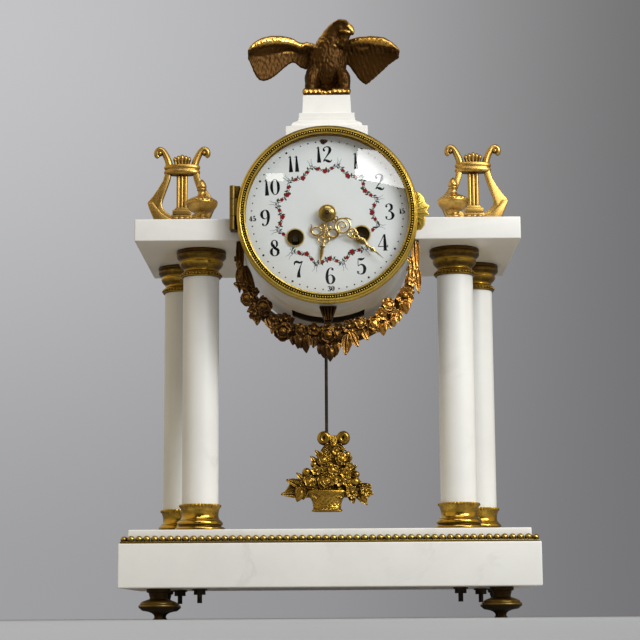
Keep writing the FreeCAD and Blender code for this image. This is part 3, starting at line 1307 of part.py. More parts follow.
for x, z, radius in ((-2.6, 47.0, 3.0), (9.4, 46.2, 3.2)):
    centre = Vector(x * wide, 0, bob_low + z * tall_bob)
    bob = bob.fuse(Part.makeTorus(radius, 1.25, centre, Vector(0, 1, 0)))
bob = bob.fuse(Part.makeBox(9 * wide, 2.4, 2.6, Vector(-1.2, -1.2, bob_low + 42.5 * tall_bob)))
socket_low = Vector(0, 0, number("bob_top") - 24.2)
rod_socket = Part.makeCylinder(number("rod_wire_radius + thread_play"), 80, socket_low)
nodes.append(at_pivot(formed("pendulum_bob", bob.cut(rod_socket).removeSplitter()), "0"))

# Strike work behind the back plate: bell on its post and the hammer beside it.
bell_post = doc.addObject("Part::Cylinder", "bell_post")
bell_post.Label = "bell_post"
bell_post.setExpression("Radius", bound("bell_post_radius"))
bell_post.setExpression("Height", bound("drum_length - 16 - back_plate_at - plate_thick"))
bell_post.Placement = Placement(Vector(0, 0, 0), Rotation(Vector(1, 0, 0), -90))
place(bell_post, "bell_side*cos(movement_turn)", "drum_front_y + back_plate_at + plate_thick",
      "axis_z + bell_side*sin(movement_turn)")
nodes.append(bell_post)
bell_rim = "pendulum_depth + 6.5"
bell_top = "drum_length - 19"
bell = turned_on_depth("bell", [
    (bell_top, "bell_post_radius + thread_play"),
    (bell_top, "bell_radius*0.3"),
    ("via", f"{bell_top} - 5.2", "bell_radius*0.80"),
    (bell_rim, "bell_radius"),
    (bell_rim, "bell_radius - 1.6"),
    ("via", f"{bell_top} - 6.6", "bell_radius*0.76"),
    (f"{bell_top} - 1.6", "bell_radius*0.28"),
    (f"{bell_top} - 1.6", "bell_post_radius + thread_play"),
])
bell.Placement = Placement(Vector(0, 0, 0), Rotation(Vector(0, 1, 0), 0))
place(bell, "bell_side*cos(movement_turn)", "drum_front_y", "axis_z + bell_side*sin(movement_turn)")
nodes.append(bell)
hammer_at = (number("hammer_x"), number("hammer_z"))
head_at = (number("bell_side") - number("bell_radius") - 4.2, 0.0)
swing = Vector(head_at[0] - hammer_at[0], 0, head_at[1] - hammer_at[1])
hammer_arm = Part.makeBox(2.0, 1.8, swing.Length, Vector(-1.0, 48.4, 0))
hammer_arm.rotate(Vector(0, 0, 0), Vector(0, 1, 0), math.degrees(math.atan2(swing.x, swing.z)))
hammer_arm.translate(Vector(hammer_at[0], 0, hammer_at[1]))
head_start = number(bell_rim)
train("hammer", [
    arbor(hammer_at, None, arbor_front, 50.2),
    rod_on_depth(48.4, 50.2, 2.4, *hammer_at),
    hammer_arm,
    rod_on_depth(48.4, head_start + 4, 1.0, *head_at),
    rod_on_depth(head_start - 1, head_start + 6, 3.0, *head_at),
])

# Straps from the dial ring to the rear ring clamp the movement in the drum.
straps = []
for angle in (20, 160):
    strap_start = Vector(number("drum_bore") - 3.4, number("rebate_depth"), -3.5)
    strap_long = number("drum_length - rear_rebate - rebate_depth")
    strap = Part.makeBox(2.6, strap_long, 7.0, strap_start)
    strap.rotate(Vector(0, 0, 0), Vector(0, -1, 0), angle)
    straps.append(strap)
nodes.append(in_movement(formed("movement_straps", Part.makeCompound(straps))))

# Rear ring with the fixed knuckles and pin of the door hinge, and the brass door that closes the
# drum.
drum_long = number("drum_length")
door_r = number("door_radius")
ring = rod_on_depth(drum_long - number("rear_rebate"), drum_long, door_r + 2.0)
ring = ring.cut(rod_on_depth(0, 200, door_r - 3.4))
back_x = number("door_hinge_x")
back_y = drum_long + number("door_hinge_depth")
pieces = [ring]
for low, high in ((-9.0, -3.2), (3.2, 9.0)):
    pieces.append(upright(knuckle_r, high - low, back_x, back_y, low))
    web_low = Vector(back_x - 3.2, drum_long - 0.5, low)
    pieces.append(Part.makeBox(2.4, back_y - drum_long + 0.5, high - low, web_low))
    pieces.append(Part.makeBox(3.2, 1.2, high - low, Vector(back_x - 3.2, back_y - 0.6, low)))
clear = rod_on_depth(drum_long, drum_long + 10, door_r + 0.25)
round_drum = rod_on_depth(0, drum_long + 0.02, 80).cut(rod_on_depth(-5, 200, door_r + 2.05))
shape = pieces[0].multiFuse(pieces[1:]).cut(clear).cut(round_drum)
shape = shape.fuse(upright(number("hinge_pin_radius"), 18, back_x, back_y, -9)).removeSplitter()
nodes.append(in_drum(formed("rear_ring", shape)))
door_disc = rod_on_depth(drum_long + 0.05, drum_long + 1.6, door_r)
dome_start = Vector(0, drum_long + 1.2, 0)
door_dome = Part.makeCone(door_r * 0.86, door_r * 0.80, 2.0, dome_start, Vector(0, 1, 0))
knob = rod_on_depth(drum_long + 1, drum_long + 9, 2.4, -door_r * 0.9, 0)
knob_head = rod_on_depth(drum_long + 6, drum_long + 9, 3.6, -door_r * 0.9, 0)
door_knuckle = upright(knuckle_r, 6.0, back_x, back_y, -3.0)
door_tab = Part.makeBox(8.2, 1.3, 6.0, Vector(back_x - 8.2, back_y - 1.5, -3.0))
door_hole = upright(pin_hole, 20, back_x, back_y, -10)
door = door_disc.multiFuse([door_dome, knob, knob_head, door_knuckle, door_tab]).cut(door_hole)
nodes.append(in_drum(formed("back_door", door.removeSplitter())))

# Nothing leaves the model unless every object and every solid is sound.
doc.recompute()
for item in doc.Objects:
    if "Invalid" in item.State or "Error" in item.State:
        raise RuntimeError("failed object " + item.Label)
os.makedirs("parts", exist_ok=True)
for item in nodes:
    shape = item.Shape
    if not shape.isValid() or not shape.Solids:
        raise RuntimeError("bad shape " + item.Label)
    shape.exportStep("parts/" + item.Label + ".step")
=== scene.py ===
import math
import random

import bmesh
import bpy
import numpy as np
from mathutils import Matrix, Vector, noise


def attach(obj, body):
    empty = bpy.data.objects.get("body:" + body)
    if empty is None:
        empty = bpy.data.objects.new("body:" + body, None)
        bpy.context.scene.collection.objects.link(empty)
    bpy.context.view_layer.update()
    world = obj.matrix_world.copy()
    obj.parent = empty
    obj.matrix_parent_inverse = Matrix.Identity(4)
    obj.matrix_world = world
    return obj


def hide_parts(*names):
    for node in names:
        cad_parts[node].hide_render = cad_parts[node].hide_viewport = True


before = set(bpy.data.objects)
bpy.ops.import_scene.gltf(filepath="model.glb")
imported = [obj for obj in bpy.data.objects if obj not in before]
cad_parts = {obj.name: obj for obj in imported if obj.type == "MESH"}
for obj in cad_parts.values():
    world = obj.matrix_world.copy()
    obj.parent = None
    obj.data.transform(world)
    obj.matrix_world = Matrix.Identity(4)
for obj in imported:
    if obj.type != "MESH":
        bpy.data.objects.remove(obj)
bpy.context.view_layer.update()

# The base is a thick slab of white marble with a thinner step on it. Both are sawn, ground flat and
# polished, and their edges are broken by hand. Their corners carry some brown soiling and painted shade,
# and their faces that look down are painted a warmer yellow as reflected light.
MM = 0.001
SLAB = (-125, -55.5, 18.35), (125, 70.5, 44.45)
STEP = (-119.75, -50.2, 44.45), (119.75, 65.2, 52.75)


class Tone:
    """A value, colour or vector in the nodes of one finish."""

    def __init__(self, tree, socket=None):
        self.tree = tree
        self.socket = socket

    def node(self, kind, settings=None, values=None, output=0):
        made = self.tree.nodes.new(kind)
        for key, value in (settings or {}).items():
            if key == "stops":
                ramp = made.color_ramp.elements
                while len(ramp) < len(value):
                    ramp.new(0.5)
                for stop, (place, colour) in zip(ramp, value):
                    stop.position = place
                    stop.color = (*colour, 1.0)
            else:
                setattr(made, key, value)
        for key, value in (values or {}).items():
            if isinstance(value, Tone):
                self.tree.links.new(value.socket, made.inputs[key])
            else:
                made.inputs[key].default_value = value
        return Tone(self.tree, made.outputs[output] if made.outputs else None)

    def maths(self, operation, first, second=0.0):
        return self.node("ShaderNodeMath", {"operation": operation}, {0: first, 1: second})

    def __add__(self, other):
        return self.maths("ADD", self, other)

    def __sub__(self, other):
        return self.maths("SUBTRACT", self, other)

    def __rsub__(self, other):
        return self.maths("SUBTRACT", other, self)

    def __mul__(self, other):
        return self.maths("MULTIPLY", self, other)

    def __pow__(self, other):
        return self.maths("POWER", self, other)

    def __rpow__(self, other):
        return self.maths("POWER", other, self)

    def __abs__(self):
        return self.maths("ABSOLUTE", self)

    __radd__ = __add__
    __rmul__ = __mul__

    def part(self, axis):
        return self.node("ShaderNodeSeparateXYZ", values={0: self}, output=axis)

    def place(self):
        return self.node("ShaderNodeTexCoord", output="Object")

    def facing(self):
        return self.node("ShaderNodeNewGeometry", output="Normal")

    def between(self, low, high, start=0.0, stop=1.0):
        spread = {"Value": self, 1: low, 2: high, 3: start, 4: stop}
        return self.node("ShaderNodeMapRange", {"interpolation_type": "SMOOTHSTEP"}, spread)

    def blend(self, first, second):
        values = {0: self}
        for key, colour in ((6, first), (7, second)):
            values[key] = colour if isinstance(colour, Tone) else (*colour, 1.0)
        return self.node("ShaderNodeMix", {"data_type": "RGBA"}, values, 2)

    def speckle(self, scale, detail=4.0, roughness=0.55, distortion=0.0):
        values = {"Vector": self.place(), "Scale": scale, "Detail": detail}
        values.update({"Roughness": roughness, "Distortion": distortion})
        return self.node("ShaderNodeTexNoise", values=values)

    def hollows(self, reach):
        shade = self.node("ShaderNodeAmbientOcclusion", {"samples": 6}, {"Distance": reach}, "AO")
        return 1.0 - shade

    def relief(self, height, strength, depth):
        values = {"Height": height, "Strength": strength, "Distance": depth}
        return self.node("ShaderNodeBump", values=values)

    def surface(self, **sockets):
        values = {key.replace("_", " "): value for key, value in sockets.items()}
        coat = self.node("ShaderNodeBsdfPrincipled", values=values)
        self.node("ShaderNodeOutputMaterial", values={"Surface": coat})


def new_finish(name):
    made = bpy.data.materials.new(name)
    made.use_nodes = True
    made.node_tree.nodes.clear()
    return made, Tone(made.node_tree)


def marble_finish(name, grime_and_shade, extra_tint=None):
    """Polished white stone with clouds and veins, brown soiling and painted shade in its hollows, and a
    painted warm light on faces that look down; a further tint may be passed in.
    """
    white, cloudy, vein_grey = (0.85, 0.845, 0.825), (0.79, 0.785, 0.77), (0.52, 0.52, 0.53)
    brown, warm_underside_light = (0.34, 0.25, 0.13), (0.76, 0.63, 0.42)
    made, tone = new_finish(name)
    cloud = tone.speckle(22.0, 5.0, 0.6)
    vein = abs(tone.speckle(11.0, 6.0, 0.62, 0.9) - 0.5).between(0.0, 0.035, 1.0, 0.0)
    vein = vein * tone.speckle(30.0, 2.0).between(0.45, 0.7)
    grain = tone.speckle(1400.0, 3.0, 0.7)
    stain = tone.speckle(70.0, 6.0, 0.7)
    # Brown in the hollows, broken up by blotches: partly soiling, partly painted shade.
    dirt_and_shade = tone.hollows(0.007).between(0.25, 0.95) * stain.between(0.3, 0.75)
    colour = cloud.between(0.3, 0.75).blend(white, cloudy)
    colour = (vein * 0.22).blend(colour, vein_grey)
    colour = (dirt_and_shade * grime_and_shade).blend(colour, brown)
    # Faces that look down get a painted warm light, as if bounced from the gilding.
    under = tone.facing().part(2).between(-0.95, -0.4, 1.0, 0.0)
    colour = (under * 0.6).blend(colour, warm_underside_light)
    if extra_tint:
        colour = extra_tint(tone, colour, stain)
    tone.surface(
        Base_Color=colour,
        Roughness=0.24 + 0.10 * cloud + 0.05 * grain,
        Specular_IOR_Level=0.5,
        Normal=tone.relief(grain, 0.04, 0.0004),
    )
    return made


def from_bmesh(made):
    made.verts.index_update()
    shape = [tuple(v.co) for v in made.verts], [[v.index for v in f.verts] for f in made.faces]
    made.free()
    return shape


def eased(made, edges, offset, profile):
    bmesh.ops.bevel(made, geom=edges, offset=offset, segments=3, profile=profile, affect="EDGES")
    return from_bmesh(made)


def block(low, high, edge):
    made = bmesh.new()
    bmesh.ops.create_cube(made, size=1.0)
    for corner in made.verts:
        for axis in range(3):
            corner.co[axis] = low[axis] + (corner.co[axis] + 0.5) * (high[axis] - low[axis])
    return eased(made, made.edges[:], edge, 0.6)


def outward_mesh(name, shape, scale):
    mesh = bpy.data.meshes.new(name)
    mesh.from_pydata((np.array(shape[0], dtype=float) * scale).tolist(), [], shape[1])
    made = bmesh.new()
    made.from_mesh(mesh)
    bmesh.ops.recalc_face_normals(made, faces=made.faces[:])
    made.to_mesh(mesh)
    made.free()
    return mesh


def in_scene(name, data):
    made = bpy.data.objects.new(name, data)
    bpy.context.scene.collection.objects.link(made)
    return made


def shaded(mesh, finish, crease):
    mesh.shade_smooth()
    mesh.set_sharp_from_angle(angle=math.radians(crease))
    mesh.materials.clear()
    mesh.materials.append(finish)


def piece(name, shape, finish, *nodes, body="case", slot="gilt_bronze", crease=38.0):
    mesh = outward_mesh(name, shape, MM)
    shaded(mesh, finish, crease)
    made = in_scene(name, mesh)
    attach(made, body)
    if nodes:
        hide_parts(*nodes)


polished_marble = marble_finish("polished_marble", grime_and_shade=0.55)
piece("base_slab_polished", block(*SLAB, edge=0.9), polished_marble, "base_slab", slot="white_marble")
piece("base_step_polished", block(*STEP, edge=0.8), polished_marble, "base_step", slot="white_marble")

# Four turned brass feet carry the base: a stem, a wide domed disc, a waist and a small toe. They are
# screwed into the slab, and have darkened to brown in their grooves.
FOOT = [
    (7, 18.35), (7.1, 17.9), (7.1, 16.4), (6.8, 16), (5.9, 15.8), (5.7, 14.6), (5.2, 13.2), (5.4, 12.2),
    (8.4, 11.2), (10.3, 10.4), (10.9, 9.6), (10.9, 9.2), (11.6, 8.9), (12, 8.2), (12, 7.6), (11.6, 6.9),
    (10.9, 6.5), (10.6, 6.1), (9.6, 5.3), (7.2, 4.9), (5.5, 4.5), (3.9, 3.8), (2.9, 3), (2.4, 2),
    (2.5, 1.2), (2.9, 0.6), (3.2, 0.35), (3.2, 0),
]
FOOT_SPOTS = [(-102.7, -34.5), (102.7, -34.5), (-108.5, 49.5), (108.5, 49.5)]


def gilt_finish(name, bright, dark, rough, patina_and_shade=0.97, reach=0.006, under=0.35, grain=0.2, level=0.35,
                shade_fades=()):
    """Gilding, bright where it is rubbed and darkened with age in hollows; faces that look down are painted
    darker as shade, and each fade paints more shade along an axis.
    """
    made, tone = new_finish(name)
    cloud = tone.speckle(75.0, 5.0, 0.6)
    mottle = tone.speckle(420.0, 4.0, 0.65)
    pores = tone.speckle(2200.0, 2.0, 0.6)
    shade = tone.hollows(reach) + (cloud - 0.5) * 0.7 + (mottle - 0.5) * 0.35
    # Faces turned away from above are painted darker as shade, and more so the higher the level.
    shade = shade + (level - tone.facing().part(2)) * under
    # Each fade paints shade along an axis, or on both sides for both x.
    for axis, bright_end, dark_end, amount in shade_fades:
        place = tone.place().part("xyz".index(axis[-1]))
        if axis == "both x":
            place = abs(place)
        shade = shade + place.between(bright_end * MM, dark_end * MM, 0.0, amount)
    shade = shade.between(0.15, 0.85) * patina_and_shade
    coppery = [c * k for c, k in zip(bright, (0.86, 0.76, 0.55))]
    warm = (mottle.between(0.3, 0.7) * 0.6).blend(bright, coppery)
    tone.surface(
        Base_Color=shade.blend(warm, dark),
        Metallic=1.0 - 0.25 * shade,
        Roughness=rough + 0.2 * shade + 0.08 * (mottle - 0.5),
        Specular_IOR_Level=0.25,
        Normal=tone.relief(mottle + pores * 0.5, grain, 0.00022),
    )
    return made


def around(count):
    return [2 * math.pi * turn / count for turn in range(count)]


def lathe(profile, count, ripple=None):
    """A turned piece from radius and height; ripple cuts teeth or a weave into it."""
    verts = []
    for angle in around(count):
        for radius, height in profile:
            reach = radius + (ripple(angle, radius, height) if ripple else 0.0)
            verts.append((reach * math.cos(angle), reach * math.sin(angle), height))
    rows = len(profile)
    faces = []
    for turn in range(count):
        here = turn * rows
        there = (turn + 1) % count * rows
        for row in range(rows - 1):
            faces.append([here + row, there + row, there + row + 1, here + row + 1])
    if profile[0] != profile[-1]:
        for row in (0, rows - 1):
            faces.append([turn * rows + row for turn in range(count)])
    return verts, faces


def moved(shape, *steps):
    matrix = Matrix.Identity(4)
    for each in steps:
        matrix = each @ matrix
    return [tuple(matrix @ Vector(point)) for point in shape[0]], shape[1]


def shift(x, y, z):
    return Matrix.Translation((x, y, z))


def joined(shapes):
    verts = []
    faces = []
    for points, sides in shapes:
        first = len(verts)
        verts.extend(points)
        faces.extend([[first + index for index in side] for side in sides])
    return verts, faces


dark_brass = gilt_finish(
    "dark_brass", (0.30, 0.19, 0.045), (0.030, 0.016, 0.006), rough=0.36, under=0.7, level=0.75)
feet = [moved(lathe(FOOT, 56), shift(x, y, 0)) for x, y in FOOT_SPOTS]
piece("turned_feet", joined(feet), dark_brass, "feet", crease=50)

# A brass bead trim lies on the ledge round the front and both sides: drawn strip with stamped beads,
# mitred at the corners and held by small pins.
LEDGE = 44.45
STRIPS = [((0, -52.85), 240.3), ((-122.375, 6.45), 114.6), ((122.375, 6.45), 114.6)]
STRIP_HALF = 2.0
STRIP_TOP = LEDGE + 1.25
BEAD = 2.2
BEAD_PITCH = 4.6
BEAD_HEIGHT = LEDGE + 2.52
BEAD_SWELL = 1.05
TRIM_PIN = [(0.9, 0), (0.9, 2.6), (0.5, 3.3), (0.05, 3.5)]
TRIM_PIN_SPOTS = [(-81.5, -51.6, 46.4), (95.0, -51.6, 46.4)]


def ball(radius, rows=8, count=12):
    profile = []
    for row in range(rows + 1):
        angle = math.pi * row / rows
        profile.append((radius * math.sin(angle), -radius * math.cos(angle)))
    profile[0] = (radius * 0.02, -radius)
    profile[-1] = (radius * 0.02, radius)
    return lathe(profile, count)


def spin(angle, axis):
    return Matrix.Rotation(angle, 4, axis)


bead_brass = gilt_finish(
    "bead_brass", (0.48, 0.34, 0.085), (0.045, 0.022, 0.007), rough=0.26, patina_and_shade=0.95, reach=0.003,
    under=0.75, grain=0.15, level=0.45)
chance = random.Random(4)
trim = []
for (x, y), length in STRIPS:
    along = (1, 0) if x == 0 else (0, 1)
    half_x, half_y = (length / 2 if run else STRIP_HALF for run in along)
    trim.append(block((x - half_x, y - half_y, LEDGE), (x + half_x, y + half_y, STRIP_TOP), 0.3))
    swell = Matrix.Diagonal([BEAD_SWELL if run else 1 for run in along] + [1, 1])
    beads = int(length // BEAD_PITCH)
    for index in range(beads):
        away = (index - (beads - 1) / 2) * BEAD_PITCH + chance.uniform(-0.08, 0.08)
        spot = shift(x + along[0] * away, y + along[1] * away, BEAD_HEIGHT)
        trim.append(moved(ball(BEAD + chance.uniform(-0.07, 0.0)), swell, spot))
for spot in TRIM_PIN_SPOTS:
    trim.append(moved(lathe(TRIM_PIN, 10), spin(math.pi / 2, "X"), shift(*spot)))
piece("bead_trim_stamped", joined(trim), bead_brass, "bead_trim")

# Each column is a plain marble shaft, turned and polished, between a gilt base with a toothed rim and
# a gilt capital with a ring of small beads. An iron tie rod runs through each.
COLUMNS = {
    "column_front_left": (-79.2, -19.2),
    "column_front_right": (79.2, -19.2),
    "column_rear_left": (-95.8, 34.2),
    "column_rear_right": (95.8, 34.2),
}
SHAFT = [(1.8, 65.8), (10.7, 65.8), (11.2, 66.3), (11.2, 213.1), (10.7, 213.55), (1.8, 213.55), (1.8, 65.8)]
SOCLE = [
    (11.3, 69.25), (12.4, 69.2), (12.6, 68.9), (12.6, 67.8), (12.4, 67.4), (11.9, 66.6), (11.4, 64.8),
    (11.25, 62.8), (11.4, 61.4), (12, 60.2), (12.6, 59.8), (12.6, 59.4), (13.2, 59.1), (13.8, 58.4),
    (14, 57.6), (13.9, 56.9), (13, 56.4), (13, 56), (14.2, 55.6), (15, 55.1), (15.3, 54.4),
    (15.3, 53.3), (15, 52.75),
]
CAPITAL = [
    (11.3, 210.1), (12.1, 210.15), (12.5, 210.5), (12.5, 210.9), (12.2, 211.1), (12.2, 212.4),
    (12.4, 212.6), (12.3, 213), (11.6, 213.5), (11, 214.2), (10.9, 215), (11.2, 215.9), (12.4, 217),
    (13.3, 218.2), (13.7, 219.4), (13.6, 220.2), (13.2, 220.9), (13.3, 221.3), (14.4, 222),
    (15.1, 222.7), (15.5, 223.4), (15.5, 224.4), (15.2, 224.9), (15, 225.1), (15, 225.3), (15.4, 225.6),
    (15.5, 225.9), (15.5, 226.9), (15.3, 227.28),
]
PEARL = 0.72
PEARLS = 36
PEARL_RING = 12.45
PEARL_HEIGHT = 211.75
TEETH = 40
TOOTH_DEPTH = 0.35
TOOTHED = (67.5, 69.0)


def rim_teeth(angle, radius, height):
    return TOOTH_DEPTH * math.sin(angle * TEETH) if TOOTHED[0] < height < TOOTHED[1] else 0.0


shaft_marble = marble_finish("shaft_marble", grime_and_shade=0.35)
# The capitals are painted darker towards their tops, as shade below the slabs.
turned_gilt = gilt_finish(
    "turned_gilt", (0.60, 0.38, 0.060), (0.050, 0.022, 0.004), rough=0.18, reach=0.007, under=0.5,
    grain=0.10, level=0.55, shade_fades=[("z", 220.6, 223.2, 0.2)])
socles = []
capitals = []
for name, (x, y) in COLUMNS.items():
    shaft = moved(lathe(SHAFT, 72), shift(x, y, 0))
    piece(name + "_shaft", shaft, shaft_marble, name, slot="white_marble")
    socles.append(moved(lathe(SOCLE, 160, rim_teeth), shift(x, y, 0)))
    capitals.append(moved(lathe(CAPITAL, 72), shift(x, y, 0)))
    for angle in around(PEARLS):
        pearl = shift(x + PEARL_RING * math.cos(angle), y + PEARL_RING * math.sin(angle), PEARL_HEIGHT)
        capitals.append(moved(ball(PEARL, 6, 8), pearl))
piece("column_bases_turned", joined(socles), turned_gilt, "column_bases", crease=50)
piece("capitals_turned", joined(capitals), turned_gilt, "capitals", crease=50)


# The tie rods and their nuts are black iron under the base, left from the forge and touched with rust.
# The bolts inside the drum are of the same iron.
def iron_finish(name):
    made, tone = new_finish(name)
    scale = tone.speckle(260.0, 5.0, 0.7)
    rust = tone.speckle(90.0, 4.0).between(0.5, 0.72)
    tone.surface(
        Base_Color=(rust * 0.6).blend((0.035, 0.028, 0.022), (0.11, 0.045, 0.016)),
        Metallic=0.8 - 0.6 * rust,
        Roughness=0.48 + 0.25 * scale,
        Normal=tone.relief(scale, 0.35, 0.0003),
    )
    return made


def keep(finish, *names, crease=32.0):
    for name in names:
        shaded(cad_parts[name].data, finish, crease)


black_iron = iron_finish("black_iron")
keep(black_iron, "tie_rods", "tie_rod_nuts", "drum_bolts")

# Two marble slabs lie on the capitals and take the drum between their hollowed inner ends. They are
# sawn from the same white stone as the base.
SLAB_END = 117.65
SLAB_LOW = 227.3
SLAB_THICK = 13.7
SLAB_FRONT = -52.5
SLAB_BACK = 67.5
AXIS = 241.0
HOLLOW = 54.35
SHARP = 0.7


def drawn_out(edge, front, back):
    """A plate with the outline given as x, z, drawn out from one depth to another."""
    made = bmesh.new()
    face = made.faces.new([made.verts.new((x, front, z)) for x, z in edge])
    for corner in bmesh.ops.extrude_face_region(made, geom=[face])["geom"]:
        if isinstance(corner, bmesh.types.BMVert):
            corner.co.y = back
    return made


def sharp_edges(made):
    bmesh.ops.recalc_face_normals(made, faces=made.faces[:])
    return [edge for edge in made.edges if edge.calc_face_angle(0) > SHARP]


def slab_end(sign):
    edge = [(SLAB_END, SLAB_LOW), (SLAB_END, AXIS)]
    for step in range(9):
        z = SLAB_LOW + SLAB_THICK * (1 - step / 8)
        edge.append((math.sqrt(HOLLOW ** 2 - (AXIS - z) ** 2), z))
    made = drawn_out([(sign * x, z) for x, z in edge], SLAB_FRONT, SLAB_BACK)
    made.normal_update()
    return eased(made, sharp_edges(made), 0.8, 0.6)


for name, sign in (("entablature_left", -1), ("entablature_right", 1)):
    piece(name + "_slab", slab_end(sign), polished_marble, name, slot="white_marble")

# The drum is one hollowed block of marble, turned, with a fine groove behind its face and a slot below for
# the pendulum. It carries more brown soiling and painted shade in its hollows than the slabs, yellow
# blotches low at its front, a painted brown shadow further back below it, and a bore painted near black as
# shade.
BORE = 53.9
BORE_FRONT = -58.9
BORE_BACK = 43.9
BLOTCH_FRONT = -62.0
SHADOW_FRONT = -14.0
SHADOW_BACK = 12.0
UNDER_DRUM_LOW = -50
UNDER_DRUM_HIGH = -30


def smoked(tone, colour, stain):
    """Yellow blotches low at the front of the drum, a painted brown shadow further back below it, and a
    bore painted near black as shade.
    """
    across, depth, height = (tone.place().part(axis) for axis in range(3))
    rise = height - AXIS * MM
    below = rise.between(UNDER_DRUM_LOW * MM, UNDER_DRUM_HIGH * MM, 1.0, 0.0)
    # Yellow blotches low at the front of the drum.
    yellow = depth.between(BLOTCH_FRONT * MM, SHADOW_FRONT * MM) * below * stain.between(0.1, 0.6)
    colour = (yellow * 0.95).blend(colour, (0.38, 0.265, 0.10))
    # Further back below the drum the marble is painted brown as its shadow.
    brown = depth.between(SHADOW_FRONT * MM, SHADOW_BACK * MM) * below
    colour = (brown * 0.9).blend(colour, (0.10, 0.062, 0.025))
    # The bore is painted near black as the shade inside the drum.
    inside = depth.between((BORE_FRONT - 0.3) * MM, BORE_FRONT * MM)
    inside = inside * depth.between(BORE_BACK * MM, (BORE_BACK + 0.3) * MM, 1.0, 0.0)
    reach = (across * across + rise * rise) ** 0.5
    hollow = reach.between((BORE - 0.7) * MM, BORE * MM, 1.0, 0.0) * inside
    return hollow.blend(colour, (0.020, 0.013, 0.008))


drum_marble = marble_finish("drum_marble", grime_and_shade=1.0, extra_tint=smoked)
keep(drum_marble, "drum_case", crease=25.0)


# The movement hangs in the drum: brass plates, barrels and wheels on steel arbors, clamped by two
# straps. They are planished, lacquered brass and grey steel. The bell is of a paler metal, and a brass
# ring and door close the drum behind.
def worked_metal(name, colour, rough):
    made, tone = new_finish(name)
    brushed = tone.speckle(900.0, 3.0, 0.6)
    tarnish = tone.speckle(80.0, 5.0, 0.6).between(0.4, 0.75)
    tone.surface(
        Base_Color=(tarnish * 0.5).blend(colour, [c * 0.55 for c in colour]),
        Metallic=1.0,
        Roughness=rough + 0.15 * brushed + 0.1 * tarnish,
        Normal=tone.relief(brushed, 0.08, 0.0002),
    )
    return made


plate_brass = worked_metal("plate_brass", (0.72, 0.48, 0.16), rough=0.25)
keep(plate_brass, "front_plate", "back_plate", "plate_pillars", "going_barrel", "strike_barrel",
     "intermediate_wheel", "centre_wheel", "third_wheel", "fourth_wheel", "escape_wheel",
     "cannon_pinion", "minute_wheel", "hour_wheel", "suspension_cock", "bell_post", "movement_straps",
     "dial_ring", "dial_pillars")
arbor_steel = worked_metal("arbor_steel", (0.44, 0.44, 0.45), rough=0.28)
keep(arbor_steel, "anchor", "hammer", "suspension_spring")
winding_steel = worked_metal("winding_steel", (0.085, 0.075, 0.06), rough=0.35)
keep(winding_steel, "going_arbor", "strike_arbor", "regulator_arbor")
bell_metal = worked_metal("bell_metal", (0.62, 0.52, 0.36), rough=0.18)
keep(bell_metal, "bell", crease=40.0)
door_brass = worked_metal("door_brass", (0.66, 0.42, 0.12), rough=0.22)
keep(door_brass, "rear_ring", "back_door")


# The dial is white enamel fired on a slightly domed copper disc, glossy, with faint waves. The key
# holes have thin turned brass rims.
def enamel_finish(name):
    made, tone = new_finish(name)
    wave = tone.speckle(45.0, 3.0, 0.5)
    pits = tone.speckle(900.0, 2.0, 0.6).between(0.68, 0.8)
    tone.surface(
        Base_Color=wave.between(0.3, 0.7).blend((0.87, 0.89, 0.925), (0.84, 0.86, 0.89)),
        Roughness=0.13 + 0.08 * wave + 0.2 * pits,
        Normal=tone.relief(wave, 0.03, 0.0006),
    )
    return made


white_enamel = enamel_finish("white_enamel")
keep(white_enamel, "dial", crease=30.0)
# Further into the key holes the rims are painted near black, as the shade of the dark movement behind.
rim_brass = gilt_finish(
    "rim_brass", (0.85, 0.62, 0.20), (0.012, 0.008, 0.005), rough=0.40, patina_and_shade=1.0, reach=0.002, under=0.0,
    grain=0.1, shade_fades=[("y", -61.2, -60.7, 1.2)])
keep(rim_brass, "winding_rims")

# Numerals, minute dots and the wreath are painted on the dial in fired colours: black numerals with
# swelling strokes, dark red roses, green leaves and grey ribbons.
FACE = -59.5
DIAL_TURN = math.radians(2.5)
DIAL_RADIUS = 49.4
DIAL_DOME = 1.2
DIAL_RIM = 0.4
PAINT = 0.035
FINEST = 0.2
HOUR_RING = 37.7
MINUTE_RING = 45.9
QUARTER_RING = 45.4
PEAK_RING = 31.4
HOUR_HEIGHT = 10.1
QUARTER_HEIGHT = 3.2
QUARTER_WEIGHT = 2.0
MINUTE_DOT = 0.45
FIFTH_DOT = 0.70


def on_dial(x, z, lift=PAINT):
    depth = -DIAL_RIM - DIAL_DOME * (1 - (x * x + z * z) / DIAL_RADIUS ** 2) - lift
    turned_x = x * math.cos(DIAL_TURN) - z * math.sin(DIAL_TURN)
    turned_z = x * math.sin(DIAL_TURN) + z * math.cos(DIAL_TURN)
    return turned_x, FACE + depth, AXIS + turned_z


def clockwise(radius, degrees):
    """A spot on the dial, the angle taken from twelve as a clock runs."""
    angle = math.radians(degrees)
    return radius * math.sin(angle), radius * math.cos(angle)


def away_from(x, z, reach, angle):
    return x + reach * math.cos(angle), z + reach * math.sin(angle)


def rounded(points, steps):
    """A smooth line through the points, of any number of values each."""
    points = [np.array(point, dtype=float) for point in points]
    padded = [2 * points[0] - points[1], *points, 2 * points[-1] - points[-2]]
    line = []
    for index in range(1, len(padded) - 2):
        a, b, c, d = padded[index - 1:index + 3]
        for step in range(steps):
            t = step / steps
            curve = 2 * b + (c - a) * t + (2 * a - 5 * b + 4 * c - d) * t * t
            line.append(0.5 * (curve + (3 * b - a - 3 * c + d) * t ** 3))
    return [*line, points[-1]]


